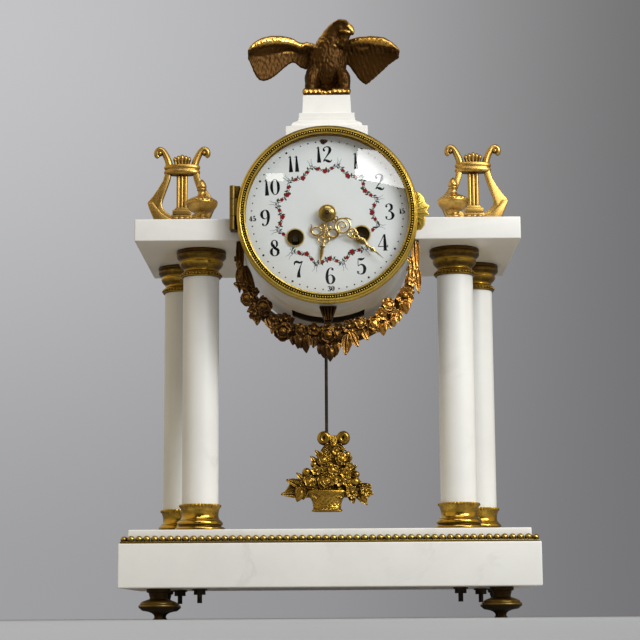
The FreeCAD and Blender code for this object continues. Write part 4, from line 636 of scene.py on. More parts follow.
def stroke(points, steps=5):
    """A painted line of swelling width; each point is x, z and width."""
    line = rounded(points, steps)
    verts = []
    for index, (x, z, width) in enumerate(line):
        before = line[max(index - 1, 0)]
        after = line[min(index + 1, len(line) - 1)]
        run = math.hypot(after[0] - before[0], after[1] - before[1]) or 1.0
        half = max(width, FINEST) / 2
        side_x = -(after[1] - before[1]) / run * half
        side_z = (after[0] - before[0]) / run * half
        verts.append(on_dial(x + side_x, z + side_z))
        verts.append(on_dial(x - side_x, z - side_z))
    return verts, [[2 * i, 2 * i + 1, 2 * i + 3, 2 * i + 2] for i in range(len(line) - 1)]


def dot(x, z, radius, count=10, lobes=0.0, lift=PAINT):
    rim = []
    for angle in around(count):
        reach = radius * (1 + lobes * math.cos(5 * angle))
        rim.append(on_dial(*away_from(x, z, reach, angle), lift))
    return rim, [list(range(count))]


def oval(x, z, wide, high, thin, thick):
    points = []
    for angle in [*around(16), 2 * math.pi]:
        swell = thin + (thick - thin) * math.cos(angle) ** 2
        points.append((x + wide * math.cos(angle), z + high * math.sin(angle), swell))
    return points


DIGITS = {
    "0": (58, [oval(29, 50, 21, 47, 3.5, 15)]),
    "1": (30, [[(15, 100, 7), (15.5, 60, 12), (16, 0, 21)], [(15, 99, 6), (9, 93, 4), (3, 90, 2)]]),
    "2": (60, [[(17, 72, 11), (10, 78, 10), (12, 90, 5), (30, 98, 5), (46, 88, 12), (46, 70, 15),
                (34, 48, 8), (14, 22, 4), (5, 8, 4)], [(5, 6, 4), (16, 14, 9), (32, 7, 14),
                (47, 3, 8), (56, 14, 3)]]),
    "3": (60, [[(15, 78, 12), (12, 90, 6), (28, 98, 4), (43, 88, 13), (42, 66, 12), (24, 54, 3.5),
                (40, 47, 8), (50, 28, 16), (42, 8, 10), (24, 2, 3.5), (9, 10, 6), (11, 22, 13)]]),
    "4": (64, [[(42, 100, 5), (22, 62, 3.5), (2, 27, 3.5)], [(2, 26, 4), (30, 26, 4), (60, 26, 4)],
                [(44, 100, 8), (44, 50, 15), (44, 0, 16)], [(31, 2, 3.5), (45, 2, 4), (58, 2, 3.5)],
                [(60, 36, 3), (60, 27, 4), (60, 19, 3)]]),
    "5": (60, [[(15, 96, 5), (28, 91, 13), (42, 93, 9), (52, 100, 3)], [(14, 97, 4), (12, 75, 3.5),
                (11, 50, 3.5)], [(11, 50, 3), (26, 60, 5), (44, 52, 12), (50, 31, 16), (42, 9, 11),
                (24, 2, 4), (8, 9, 6), (11, 20, 13)]]),
    "6": (60, [[(42, 84, 13), (45, 93, 7), (33, 98, 3.5), (17, 84, 10), (9, 45, 15), (14, 12, 12),
                (29, 2, 3.5), (44, 12, 11), (50, 30, 15), (44, 48, 10), (30, 56, 3.5), (14, 46, 4)]]),
    "7": (58, [[(4, 76, 3), (8, 92, 10), (22, 95, 12), (38, 89, 10), (54, 98, 4)], [(54, 98, 3),
                (40, 66, 5), (30, 34, 12), (27, 0, 20)]]),
    "8": (60, [oval(29, 75, 16, 22, 3.5, 11), oval(29, 27, 21, 25, 3.5, 15), [(14, 82, 6),
                (26, 56, 14), (44, 36, 10)]]),
}
DIGITS["9"] = (60, [[(60 - x, 100 - z, w) for x, z, w in DIGITS["6"][1][0]]])
DIGIT_GAP = 7


def number(text, at, height, weight=1.18):
    """The strokes of a number; each digit is given in hundredths of its height, with its width first."""
    unit = height / 100
    start = -(sum(DIGITS[digit][0] for digit in text) + DIGIT_GAP * (len(text) - 1)) / 2
    painted = []
    for digit in text:
        advance, strokes = DIGITS[digit]
        for points in strokes:
            line = [(at[0] + unit * (start + x), at[1] + unit * (z - 50), unit * weight * w)
                    for x, z, w in points]
            painted.append(stroke(line))
        start += advance + DIGIT_GAP
    return painted


def fired_colour(name, colour, spread):
    made, tone = new_finish(name)
    thin = tone.speckle(2600.0, 3.0, 0.6)
    tone.surface(
        Base_Color=thin.between(0.3, 0.7).blend(colour, [min(c * spread, 1.0) for c in colour]),
        Roughness=0.16 + 0.1 * thin,
    )
    return made


black_ink = fired_colour("black_ink", (0.004, 0.004, 0.006), spread=2.0)
marks = []
for hour in range(1, 13):
    marks += number(str(hour), clockwise(HOUR_RING, 30 * hour), HOUR_HEIGHT)
for minute in range(1, 60):
    if minute % 15 == 0:
        spot = clockwise(QUARTER_RING, 6 * minute)
        marks += number(str(minute), spot, QUARTER_HEIGHT, QUARTER_WEIGHT)
    else:
        size = MINUTE_DOT if minute % 5 else FIFTH_DOT
        marks.append(dot(*clockwise(MINUTE_RING, 6 * minute), size))
piece("dial_numerals", joined(marks), black_ink, slot="enamel")

KEY_HOLES = [(-20.0, -13.27), (20.0, -13.27)]
HOLE_ROOM = 5.7
GARLAND_LOW = 27.2
GARLAND_RISE = 4.2
ROSES = [(0.0, 1.5), (-0.56, 1.12), (0.56, 1.12)]
LEAF_LONG = 2.3
LEAF_MIDDLE = 1.35
LEAF_BEND = 0.25
LEAF_LEANS = (60, 120, 250, 290)
LEAF_SHARES = (-0.86, -0.72, -0.36, -0.2, 0.2, 0.36, 0.72, 0.86)
RIBBON = [(-0.4, 0.3, 0.3), (1.0, 1.5, 0.34), (2.2, 1.0, 0.3), (3.2, 1.3, 0.24), (4.6, 2.2, 0.1)]
KNOT = [(0, 1), (0.9, 0.4), (0.5, -0.8), (-0.6, -0.7)]


def off_holes(x, z, room):
    return all(math.hypot(x - hole_x, z - hole_z) > HOLE_ROOM + room for hole_x, hole_z in KEY_HOLES)


def garland(hour, share, out=0.0):
    """A spot on the painted garland of one hour, share -1 to 1 from peak to peak."""
    return clockwise(GARLAND_LOW + GARLAND_RISE * abs(share) ** 1.4 + out, 30 * hour + 15 * share)


roses = []
leaves = []
ribbons = []
chance = random.Random(11)
for hour in range(12):
    for share, size in ROSES:
        x, z = garland(hour, share)
        if off_holes(x, z, size):
            roses.append(dot(x, z, size, count=20, lobes=0.15, lift=0.06))
    for side in (-1, 1):
        strands = [[]]
        for step in range(25):
            share = step / 12 - 1
            x, z = garland(hour, share, side * 0.95 * math.sin(2 * math.pi * share * 1.75))
            if off_holes(x, z, 0.2):
                strands[-1].append((x, z, 0.30))
            else:
                strands.append([])
        leaves += [stroke(strand, 2) for strand in strands if len(strand) > 1]
    for share in LEAF_SHARES:
        x, z = garland(hour, share)
        lean = math.radians(-30 * hour + chance.choice(LEAF_LEANS) + chance.uniform(-18, 18))
        tip = away_from(x, z, LEAF_LONG, lean)
        middle = away_from(x, z, LEAF_MIDDLE, lean + LEAF_BEND)
        if off_holes(x, z, 1.9):
            leaves.append(stroke([(x, z, 0.24), (*middle, 1.0), (*tip, 0.12)], 3))
    for side in (-1, 1):
        line = [(*clockwise(PEAK_RING + out, 30 * hour + 15 + side * swing), width)
                for out, swing, width in RIBBON]
        ribbons.append(stroke(line, 4))
        x, z = garland(hour, side * 0.97, 0.6)
        if off_holes(x, z, 1.0):
            ribbons.append(stroke([(x + 0.6 * a, z + 0.6 * b, 0.26) for a, b in KNOT]))
rose_red = fired_colour("rose_red", (0.16, 0.010, 0.012), spread=2.2)
leaf_green = fired_colour("leaf_green", (0.020, 0.032, 0.014), spread=2.6)
ribbon_grey = fired_colour("ribbon_grey", (0.15, 0.16, 0.21), spread=1.7)
piece("dial_roses", joined(roses), rose_red, slot="enamel")
piece("dial_leaves", joined(leaves), leaf_green, slot="enamel")
piece("dial_ribbons", joined(ribbons), ribbon_grey, slot="enamel")

# Over twelve the enamel has chipped away round the regulator hole, and the copper under it shows as a
# dark, ragged ring.
CHIP_HEIGHT = 45.8
CHIP_HOLE = 1.25
CHIP_REACH = 2.0
worn_copper = fired_colour("worn_copper", (0.10, 0.028, 0.012), spread=2.4)
chip = []
for angle in around(30):
    ragged = 0.28 * math.sin(3 * angle + 0.6) + 0.14 * math.sin(7 * angle)
    for reach in (CHIP_HOLE, CHIP_REACH + ragged):
        spot = (1.15 * reach * math.cos(angle), CHIP_HEIGHT + 0.8 * reach * math.sin(angle))
        chip.append(on_dial(*spot, lift=0.05))
total = len(chip)
chip_sides = [[t, t + 1, (t + 3) % total, (t + 2) % total] for t in range(0, total, 2)]
piece("dial_chip", (chip, chip_sides), worn_copper, slot="enamel")

# The hands are pierced scrollwork, cut from sheet brass, rounded with a file and fire-gilt. The hour
# hand sits on the hour pipe, the minute hand before it, and a domed boss hides the pin that holds both.
HAND = 0.62
HOUR_SHOWN = 191
HOUR_DEPTH = -2.9
MINUTE_SHOWN = 132
MINUTE_DEPTH = -4.4
HOUR_STEM = [(0, 4), (0, 6), (0, 8), (0, 12), (0, 18.5)]
HOUR_LOOPS = [
    (1.9, 8.3, 1.25, 1.6, 0.95, -0.3), (4.9, 11.3, 2.9, 2.4, 1.05, 0.25), (1.8, 15.9, 1.5, 1.8, 0.95, 0.4),
]
HOUR_CURLS = [
    ([(0.5, 12.4), (2.8, 14.1), (6.4, 14.0), (8.4, 11.6), (8.2, 9.0), (9.0, 7.4)],
     [1.0, 1.0, 1.0, 1.0, 0.8, 0.3]),
    ([(0.4, 9.8), (1.6, 10.6), (2.0, 12.0)], 0.9),
]
HOUR_BLADE = [
    (0.6, 17.6), (0.9, 19), (1.2, 19.6), (1.95, 20.2), (1.2, 20.9), (1, 21.6), (1.2, 22.6), (1.1, 24.5),
    (0.75, 27.2), (0.2, 30),
]
MINUTE_STEM = [(0, 3.4), (0, 5), (0, 7.4)]
MINUTE_LOOPS = [(1.2, 6.0, 0.9, 1.0, 0.7, 0.0), (1.25, 18.8, 1.2, 1.7, 0.9, -0.25)]
MINUTE_CURLS = [([(0.6, 16.4), (2.7, 18.2), (2.5, 20.8), (0.9, 22.8), (0.6, 24.4)], 0.9)]
MINUTE_HORN = [(-4.0, 9.8), (-5.5, 11.6), (-6.3, 14.2)]
COIL = [
    (3.4, 14.6), (3.3, 11.6), (1.2, 9.3), (-1.5, 9.7), (-2.3, 12), (-0.8, 13.7), (0.9, 12.9),
    (0.7, 11.6),
]
MINUTE_BLADE = [
    (0.8, 23.6), (1.5, 25.2), (2.1, 26.8), (1.8, 28.2), (0.95, 29.6), (0.75, 31.6), (0.85, 33.6),
    (1.55, 34.9), (0.85, 36.2), (0.5, 37.6), (0.34, 40.2), (0.12, 43.4),
]
BOSS = [
    (1.3, -4.82), (5.1, -4.82), (5.4, -5), (5.5, -5.4), (5.3, -5.9), (4.7, -6.7), (3.6, -7.45),
    (2.4, -7.9), (1.3, -8.05), (1.15, -8.15), (0.5, -8.2), (0.05, -8.2),
]
PIN_END = [(1.45, -7.7), (1.45, -8.02), (1.2, -8.15), (0.7, -8.19), (0.05, -8.2)]


def skin_of(rows, count, closed=False):
    """Sides round rows of points, with a cap at each end unless the rows close on themselves."""
    faces = []
    for row in range(rows if closed else rows - 1):
        here = row * count
        there = (row + 1) % rows * count
        for turn in range(count):
            after = (turn + 1) % count
            faces.append([here + turn, here + after, there + after, there + turn])
    if not closed:
        faces.append(list(range(count)))
        faces.append([(rows - 1) * count + turn for turn in range(count)])
    return faces


def tube(points, count=8, flat=1.0, up=(0, 1, 0), closed=False):
    """A rod through points of x, y, z and radius, flattened along up."""
    total = len(points)
    path = [Vector(point[:3]) for point in points]
    verts = []
    for index, centre in enumerate(path):
        before = path[index - 1] if index or closed else centre
        after = path[(index + 1) % total] if index < total - 1 or closed else centre
        along = (after - before).normalized()
        across = along.cross(Vector(up))
        across = across.normalized() if across.length > 1e-6 else Vector((1, 0, 0))
        rise = across.cross(along)
        reach = points[index][3]
        for turn in range(count):
            angle = 2 * math.pi * (turn + 0.5) / count
            out = across * (reach * math.cos(angle))
            verts.append(tuple(centre + out + rise * (reach * flat * math.sin(angle))))
    return verts, skin_of(total, count, closed)


def scroll(points, width):
    """Scrollwork through x, z points, of one width or of a width at each point."""
    line = rounded(points, 4)
    if isinstance(width, list):
        widths = rounded([(w,) for w in width], 4)
        return tube([(x, 0, z, w[0] / 2) for (x, z), w in zip(line, widths)])
    return tube([(x, 0, z, width / 2) for x, z in line], flat=HAND / width)


def loop(x, z, wide, high, width, lean=0.0):
    """An oval ring of scrollwork round x, z, with its half width, half height and line width."""
    path = []
    for angle in around(28):
        a, b = wide * math.cos(angle), high * math.sin(angle)
        loop_x = x + a * math.cos(lean) - b * math.sin(lean)
        path.append((loop_x, 0, z + a * math.sin(lean) + b * math.cos(lean), width / 2))
    return tube(path, flat=HAND / width, closed=True)


def both_sides(loops, curls):
    made = []
    for side in (-1, 1):
        for x, z, wide, high, width, lean in loops:
            made.append(loop(side * x, z, wide, high, width, side * lean))
        for points, width in curls:
            made.append(scroll([(side * x, z) for x, z in points], width))
    return made


def blade(points):
    """A flat blade with a raised middle, from half widths along its length."""
    verts = []
    for half, z in points:
        verts += [(-half, 0, z), (0, -HAND / 2, z), (half, 0, z), (0, HAND / 2, z)]
    return verts, skin_of(len(points), 4)


def hub(outer, inner):
    low, high = -HAND / 2, HAND / 2
    ring = [(inner, low), (outer - 0.15, low), (outer, low / 2), (outer, high), (inner, high), (inner, low)]
    return moved(lathe(ring, 40), spin(math.pi / 2, "X"))


def at_time(shapes, angle, depth):
    turn = spin(math.radians(angle) - DIAL_TURN, "Y")
    return moved(joined(shapes), turn, shift(0, FACE + depth, AXIS))


def before_face(shape):
    """Stands what was turned about Z on the axis of the dial."""
    return moved(shape, spin(math.pi / 2, "X"), shift(0, FACE, AXIS))


def turned_before(profile, count):
    return before_face(lathe([(radius, -depth) for radius, depth in profile], count))


hand_gilt = gilt_finish(
    "hand_gilt", (0.68, 0.49, 0.19), (0.20, 0.11, 0.03), rough=0.26, patina_and_shade=0.6, reach=0.0012, under=0.0,
    grain=0.12)
hour_work = [
    hub(outer=4.4, inner=2.75), scroll(HOUR_STEM, width=1.1), *both_sides(HOUR_LOOPS, HOUR_CURLS),
    blade(HOUR_BLADE),
]
hour_shape = at_time(hour_work, HOUR_SHOWN, HOUR_DEPTH)
piece("hour_hand_pierced", hour_shape, hand_gilt, "hour_hand", body="hour_train")
minute_work = [
    hub(outer=3.6, inner=1.85), loop(0, 11.9, wide=4.55, high=4.5, width=1.15),
    scroll(MINUTE_STEM, width=1.5), scroll(COIL, width=0.95), scroll(MINUTE_HORN, width=[1.0, 0.9, 0.2]),
    loop(0, 22.6, wide=1.15, high=1.5, width=0.9),
    *both_sides(MINUTE_LOOPS, MINUTE_CURLS), blade(MINUTE_BLADE),
]
minute_shape = at_time(minute_work, MINUTE_SHOWN, MINUTE_DEPTH)
piece("minute_hand_pierced", minute_shape, hand_gilt, "minute_hand", body="minute_train")
boss_gilt = gilt_finish(
    "boss_gilt", (0.66, 0.47, 0.14), (0.06, 0.03, 0.008), rough=0.17, patina_and_shade=0.9, reach=0.003, under=0.5,
    grain=0.06, level=0.2)
piece("hand_boss", turned_before(BOSS, 56), boss_gilt, "hand_collet", body="minute_train")
piece("hand_pin_end", turned_before(PIN_END, 24), black_iron, body="minute_train", slot="steel")

# The bezel is a turned brass ring with a finely reeded inner edge, hinged at the left, with a
# leaf-shaped pull at the right. Polish has worn its ridges yellow and left the grooves brown.
BEZEL = [
    (51.2, 0), (54.6, 0), (55, -0.3), (55, -2), (54.8, -2.3), (54.4, -2.5), (54.4, -2.8), (54.75, -3),
    (54.95, -3.5), (54.9, -4.4), (54.5, -5.1), (53.9, -5.55), (53.65, -5.4), (53.5, -5.45),
    (53.4, -5.85), (53, -6.3), (52.7, -6.45), (52.45, -6.3), (52.4, -5.9), (52.3, -5.9), (52.2, -5),
    (50.7, -5), (50.55, -6.6), (50.4, -7.2), (50.1, -7.5), (49.6, -7.4), (49.3, -6.9), (49.3, -6.45),
    (49.95, -6.4), (49.95, -4), (51.2, -4), (51.2, 0),
]
REEDS = 216
REED = (0.86, 0.56, 1.0)
REED_RING = 51.4
REED_LIFT = 5.85
PULL = [
    (53.6, -11.6), (56.8, -11.2), (58.6, -8.4), (59.2, -5.2), (58.8, -2.8), (61.9, -2.2), (60.2, -0.2),
    (61.9, 3.2), (59.3, 5.4), (58.6, 8.2), (56.2, 11.4), (53.6, 12.6),
]
PULL_LIFT = AXIS + 1.2
PULL_TIPS = [(56.4, -9.6), (58.2, -5.4), (60.6, -1.2), (60.6, 2.4), (58.2, 6.4), (55.8, 10.0)]
RIB_ROOT = 53.4
RIB_BEND = 55.4
PULL_RIB = [0.75, 0.8, 0.85, 0.85, 0.8, 0.7, 0.6, 0.45, 0.3]
KNUCKLE = [(0.96, -5.4), (1.6, -5.4), (1.8, -5.2), (1.8, 5.2), (1.6, 5.4), (0.96, 5.4), (0.96, -5.4)]
KNUCKLE_AT = (-57.3, -61.8, 245.5)
TAB = (-56.3, -63.5, 240.1), (-52.6, -61.3, 250.9)


def cut_sheet(edge, thick, bevel):
    """A casting with the outline given as x, z, and its edges eased."""
    made = drawn_out(edge, -thick / 2, thick / 2)
    return eased(made, sharp_edges(made), bevel, 0.5)


bezel_gilt = gilt_finish(
    "bezel_gilt", (0.72, 0.52, 0.105), (0.050, 0.024, 0.006), rough=0.28, reach=0.0016, under=0.15,
    grain=0.12, level=0.5)
bezel = [turned_before(BEZEL, 256)]
for angle in around(REEDS):
    reed = moved(ball(1.0, 6, 8), Matrix.Diagonal((*REED, 1)), spin(angle, "Z"))
    spot = shift(REED_RING * math.cos(angle), REED_RING * math.sin(angle), REED_LIFT)
    bezel.append(before_face(moved(reed, spot)))
bezel.append(moved(cut_sheet(PULL, thick=2.0, bevel=0.5), shift(0, FACE - 2.6, PULL_LIFT)))
for tip_x, tip_z in PULL_TIPS:
    rib = rounded([(RIB_ROOT, tip_z * 0.55), (RIB_BEND, tip_z * 0.74), (tip_x, tip_z)], 4)
    rib = tube([(x, 0, z, radius) for (x, z), radius in zip(rib, PULL_RIB)])
    bezel.append(moved(rib, shift(0, FACE - 3.6, PULL_LIFT)))
piece("bezel_turned", joined(bezel), bezel_gilt, "bezel_ring", body="bezel")
hinge_brass = gilt_finish(
    "hinge_brass", (0.20, 0.13, 0.03), (0.030, 0.015, 0.005), rough=0.42, reach=0.003, under=0.3, level=0.8)
knuckle = moved(lathe(KNUCKLE, 28), shift(*KNUCKLE_AT))
piece("bezel_knuckle", joined([knuckle, block(*TAB, edge=0.3)]), hinge_brass, body="bezel")
keep(hinge_brass, "bezel_hinge", crease=30.0)

# A convex glass is sprung into the groove of the bezel. It is clear old glass, blown and cut round,
# and it mirrors the studio lamps near its edge.
GLASS = 49.9
GLASS_EDGE = 6.2
GLASS_DOME = 5.0
GLASS_THICK = 1.6
GLASS_STEPS = 20
MIRROR = 1.9


def clear_glass(name):
    made, tone = new_finish(name)
    away = tone.node("ShaderNodeNewGeometry", output="Backfacing")
    mirror = tone.node("ShaderNodeFresnel", values={"IOR": 1.5}) * (MIRROR - MIRROR * away)
    clear = tone.node("ShaderNodeBsdfTransparent", values={"Color": (0.985, 0.99, 0.985, 1)})
    shine = tone.node("ShaderNodeBsdfGlossy", values={"Roughness": 0.02})
    both = tone.node("ShaderNodeMixShader", values={0: mirror, 1: clear, 2: shine})
    tone.node("ShaderNodeOutputMaterial", values={"Surface": both})
    return made


crown = []
for step in range(GLASS_STEPS, -1, -1):
    share = step / GLASS_STEPS
    crown.append((max(GLASS * share, 0.05), GLASS_EDGE + GLASS_DOME * (1 - share ** 2)))
inside = [(radius, depth - GLASS_THICK) for radius, depth in reversed(crown)]
glass = before_face(lathe([*crown, *inside, crown[0]], 128))
piece("bezel_glass_convex", glass, clear_glass("clear_glass"), "bezel_glass", body="bezel", slot="glass",
      crease=60)

# A cast garland of roses, leaves and buds hangs round the drum from the slab ends to a fluted lug in the
# middle. It is gilt bronze, chased after casting; its left half and its parts set further back are painted
# darker as shade.
SWAG_FRONT = -52.4
SWAG_MIDDLE = -48.5
SWAG_END_FRONT = -51.0
SWAG_FILLING = 58
SWAG_TOP = 227.25
SWAG_WIDTH = 0.95
HALF = [
    (57, 227.2, 1.7), (56.6, 218, 2), (54.6, 206, 2.6), (49.4, 193.6, 3.5), (39.5, 181.6, 4.3),
    (22, 171.4, 4.8),
]
LOWEST = (0, 167.2, 5.2)
SWAG_ROSES = [
    (-51.2, 191.2, 4.8), (-40.9, 186.0, 6.2), (-28.4, 170.9, 6.2), (-17.6, 171.0, 5.0), (20.3, 175.2, 4.9),
    (28.9, 174.8, 5.4), (38.3, 186.0, 5.2), (-0.1, 168.4, 6.8),
]
SWAG_FLOWERS = [
    (13.2, 173.6, 4.8, 7), (48.7, 192.2, 6.2, 5), (43.0, 179.8, 4.4, 5), (-27.0, 178.4, 4.4, 5),
    (-46.2, 181.4, 4.3, 5), (-9.0, 172.2, 4.4, 5), (33.6, 181.0, 4.4, 5), (53.6, 201.0, 3.6, 5),
    (-53.4, 199.4, 3.4, 5), (-34.6, 178.2, 4.2, 5), (6.4, 172.6, 3.8, 5),
]
SWAG_LEAVES = [
    ((-44.5, 181), (-45.2, 174.6), 5), ((-39, 179.5), (-36.4, 172.6), 5.4),
    ((12.5, 169), (10.9, 156), 7.4), ((15, 169.5), (19, 161), 5.8), ((22.5, 170.5), (25.4, 165.2), 5),
    ((-34, 177), (-35.8, 169.4), 5), ((-22, 168), (-22.4, 162.4), 5), ((45, 185), (50.8, 182.2), 5),
    ((-47, 188), (-55.4, 189.4), 4.8), ((36.5, 177.5), (40.4, 171.8), 4.6),
    ((-46, 186), (-51.6, 183), 4.6), ((-8, 167.5), (-9.6, 160.6), 5),
]
SWAG_BUDS = [
    (3.1, (-14.8, 168), (-13.8, 157.6)), (2.8, (-18.2, 168), (-19.2, 160.2)),
    (2.9, (34.2, 176), (35.2, 167.8)), (2.9, (49, 189), (49.8, 180.8)),
    (2.9, (-3.2, 162.8), (-2.6, 154.4)), (2.8, (1.4, 161), (1.2, 152.3)),
    (2.5, (4.6, 163.6), (5.4, 156)), (2.6, (40.6, 178.6), (42.2, 173.2)),
]
SWAG_ENDS = [
    ((-56.6, 227.0), (-55.2, 205.0), 5.4), ((-56.0, 214.0), (-52.0, 192.6), 5.0),
    ((-52.6, 212.0), (-45.6, 191.0), 4.6), ((-57.2, 210.0), (-56.2, 195.0), 4.4),
    ((56.2, 227.0), (56.6, 206.0), 5.6), ((55.2, 216.0), (53.4, 200.0), 5.0),
    ((56.6, 211.0), (58.0, 193.6), 5.2), ((53.4, 208.0), (49.0, 196.0), 4.4),
]
LUG = [(-5.8, 186.6), (5.8, 186.6), (2.3, 177.4), (2.1, 169.0), (-2.1, 169.0), (-2.3, 177.4)]
LUG_DEPTH = -48.2
LUG_FLUTES = (-4.8, -2.4, 0.0, 2.4, 4.8)


def petal(length, width, cup, lift, thick, point, teeth=0.0, rows=6, columns=4, rib=0.0):
    """A cast petal or leaf along X, hollow side up; a high point value makes it pointed."""
    upper = []
    lower = []
    for row in range(rows + 1):
        share = row / rows
        swell = math.sin(math.pi * (0.1 + 0.86 * share ** (0.9 - 0.25 * point)))
        half = width / 2 * max(swell, 0.0) ** (0.45 + point)
        if teeth:
            half *= 1.0 - teeth * (share * 4.0 % 1.0)
        half = max(half, width * 0.03)
        for column in range(columns + 1):
            v = 2 * column / columns - 1
            height = lift * length * share * share + cup * half * v * v
            height += rib * half * max(0.0, 1 - abs(v) * 3)
            upper.append((length * share, half * v, height))
            lower.append((length * share, half * v * 0.94, height - thick))
    step = columns + 1
    base = len(upper)
    faces = []
    for row in range(rows):
        for a in range(row * step, row * step + columns):
            faces.append([a, a + 1, a + step + 1, a + step])
            faces.append([base + a, base + a + step, base + a + step + 1, base + a + 1])
    edge = [*range(0, rows * step, step), *range(rows * step, base)]
    edge += [*range(rows * step - 1, columns, -step), *range(columns, 0, -1)]
    for a, b in zip(edge, edge[1:] + edge[:1]):
        faces.append([a, base + a, base + b, b])
    return upper + lower, faces


def placed(shape, at, facing=(0, -1, 0), roll=0.0):
    """Stands a shape that faces +Z on a spot, looking along facing."""
    look = Vector(facing).normalized().to_track_quat("Z", "Y").to_matrix().to_4x4()
    return moved(shape, spin(math.radians(roll), "Z"), look, shift(*at))


def rose(radius, seed):
    turn_by = random.Random(seed)
    made = []
    for count, length, tilt, start in ((5, 1.0, 4, 0), (5, 0.80, 30, 36), (4, 0.60, 54, 12)):
        for index in range(count):
            turn = start + 360 * index / count + turn_by.uniform(-9, 9)
            one = petal(radius * length, radius * length * 1.3, cup=0.45, lift=0.06,
                        thick=max(0.14 * radius, 0.5), point=0.05)
            tilted = spin(math.radians(-tilt + turn_by.uniform(-6, 6)), "Y")
            made.append(moved(one, tilted, spin(math.radians(turn), "Z")))
    made.append(moved(ball(radius * 0.30), shift(0, 0, radius * 0.30)))
    made.append(moved(ball(radius * 0.60), shift(0, 0, -radius * 0.30)))
    return joined(made)


def open_flower(radius, petals, seed):
    turn_by = random.Random(seed)
    made = [moved(ball(radius * 0.32), shift(0, 0, radius * 0.16))]
    for turn in around(petals):
        one = petal(radius, radius * 5.2 / petals, cup=0.45, lift=0.18, thick=max(0.15 * radius, 0.45),
                    point=0.10)
        tilt = spin(math.radians(-8 + turn_by.uniform(-8, 8)), "Y")
        made.append(moved(one, tilt, spin(turn + turn_by.uniform(-0.1, 0.1), "Z")))
    made.append(moved(ball(radius * 0.5), shift(0, 0, -radius * 0.3)))
    return joined(made)


def leaf(at, tip, width, front, bend=0.12, teeth=0.0):
    run = Vector((tip[0] - at[0], 0, tip[1] - at[1]))
    one = petal(run.length, width, cup=0.5, lift=bend, thick=1.0, point=0.45, teeth=teeth, rows=12,
                columns=6, rib=0.45)
    one = moved(one, spin(math.pi / 2, "X"), spin(-math.atan2(run.z, run.x), "Y"))
    return moved(one, shift(at[0], front, at[1]))


def bud(radius, at, tip, front):
    run = Vector((tip[0] - at[0], 0, tip[1] - at[1]))
    long = run.length
    profile = [(radius * 0.25, 0), (radius * 0.8, long * 0.14), (radius, long * 0.36),
               (radius * 0.86, long * 0.6), (radius * 0.5, long * 0.83), (radius * 0.12, long)]
    made = [lathe([tuple(p) for p in rounded(profile, 3)], 14)]
    for angle in around(3):
        sepal = petal(long * 0.72, radius * 1.3, cup=-0.6, lift=0.0, thick=0.6, point=0.5)
        sepal = moved(sepal, spin(-math.pi / 2, "Y"), shift(radius * 0.9, 0, 0))
        made.append(moved(sepal, spin(angle + 0.4, "Z")))
    turn = run.to_track_quat("Z", "Y").to_matrix().to_4x4()
    return moved(joined(made), turn, shift(at[0], front, at[1]))


def fused(shapes, voxel, ease):
    """One skin round all the shapes, as a casting has; gives its points, normals and sides."""
    model = in_scene("casting_model", outward_mesh("casting_model", joined(shapes), 1.0))
    skin = model.modifiers.new("skin", "REMESH")
    skin.mode = "VOXEL"
    skin.voxel_size = voxel
    smooth = model.modifiers.new("ease", "SMOOTH")
    smooth.factor = 0.5
    smooth.iterations = ease
    ready = model.evaluated_get(bpy.context.evaluated_depsgraph_get())
    cast = bpy.data.meshes.new_from_object(ready)
    values = {}
    for key in ("co", "normal"):
        values[key] = np.empty(len(cast.vertices) * 3)
        cast.vertices.foreach_get(key, values[key])
    sides = [list(side.vertices) for side in cast.polygons]
    bpy.data.objects.remove(model)
    bpy.data.meshes.remove(cast)
    return values["co"].reshape(-1, 3), values["normal"].reshape(-1, 3), sides


# The left half and the parts further back are painted darker as shade.
swag_gilt = gilt_finish(
    "swag_gilt", (0.66, 0.34, 0.080), (0.036, 0.015, 0.004), rough=0.24, patina_and_shade=0.98, level=0.45,
    shade_fades=[("x", 40.0, -4.0, 0.5), ("y", -52.0, -49.6, 0.55)])
stem = rounded([*[(-x, z, r) for x, z, r in HALF], LOWEST, *reversed(HALF)], 6)
swag = [tube([(x, SWAG_MIDDLE, z, r) for x, z, r in stem], count=14, flat=0.85)]
for seed, (x, z, radius) in enumerate(SWAG_ROSES, 1):
    look = (x * 0.006, -1, (z - 195) * 0.006)
    swag.append(placed(rose(radius, seed), (x, SWAG_FRONT, z), look, 40 * seed))
for seed, (x, z, radius, petals) in enumerate(SWAG_FLOWERS, 1):
    flower = open_flower(radius, petals, seed)
    swag.append(placed(flower, (x, SWAG_FRONT - 0.6, z), (x * 0.006, -1, -0.15), 25 * seed))
for start, tip, width in SWAG_LEAVES:
    swag.append(leaf(start, tip, width, SWAG_FRONT - 0.4, teeth=0.16))
for radius, start, tip in SWAG_BUDS:
    swag.append(bud(radius, start, tip, SWAG_FRONT - 0.4))
for start, tip, width in SWAG_ENDS:
    swag.append(leaf(start, tip, width, SWAG_END_FRONT, bend=0.04))
chance = random.Random(21)
for index in range(SWAG_FILLING):
    share = chance.uniform(-0.80, 0.80)
    x, z, radius = stem[int((share + 1) / 2 * (len(stem) - 1))]
    away = radius * 0.95
    x += chance.uniform(-away, away)
    y = SWAG_FRONT + chance.uniform(0.6, 2.2)
    z += chance.uniform(-away, away)
    if index % 2:
        flower = open_flower(chance.uniform(2.0, 3.0), 5, index)
        swag.append(placed(flower, (x, y, z), (chance.uniform(-0.6, 0.6), -1, -0.2)))
    else:
        turn = chance.uniform(0, 2 * math.pi)
        swag.append(leaf((x, z), away_from(x, z, 5.0, turn), width=4.0, front=y))
swag.append(moved(cut_sheet(LUG, thick=4.4, bevel=0.4), shift(0, LUG_DEPTH, 0)))
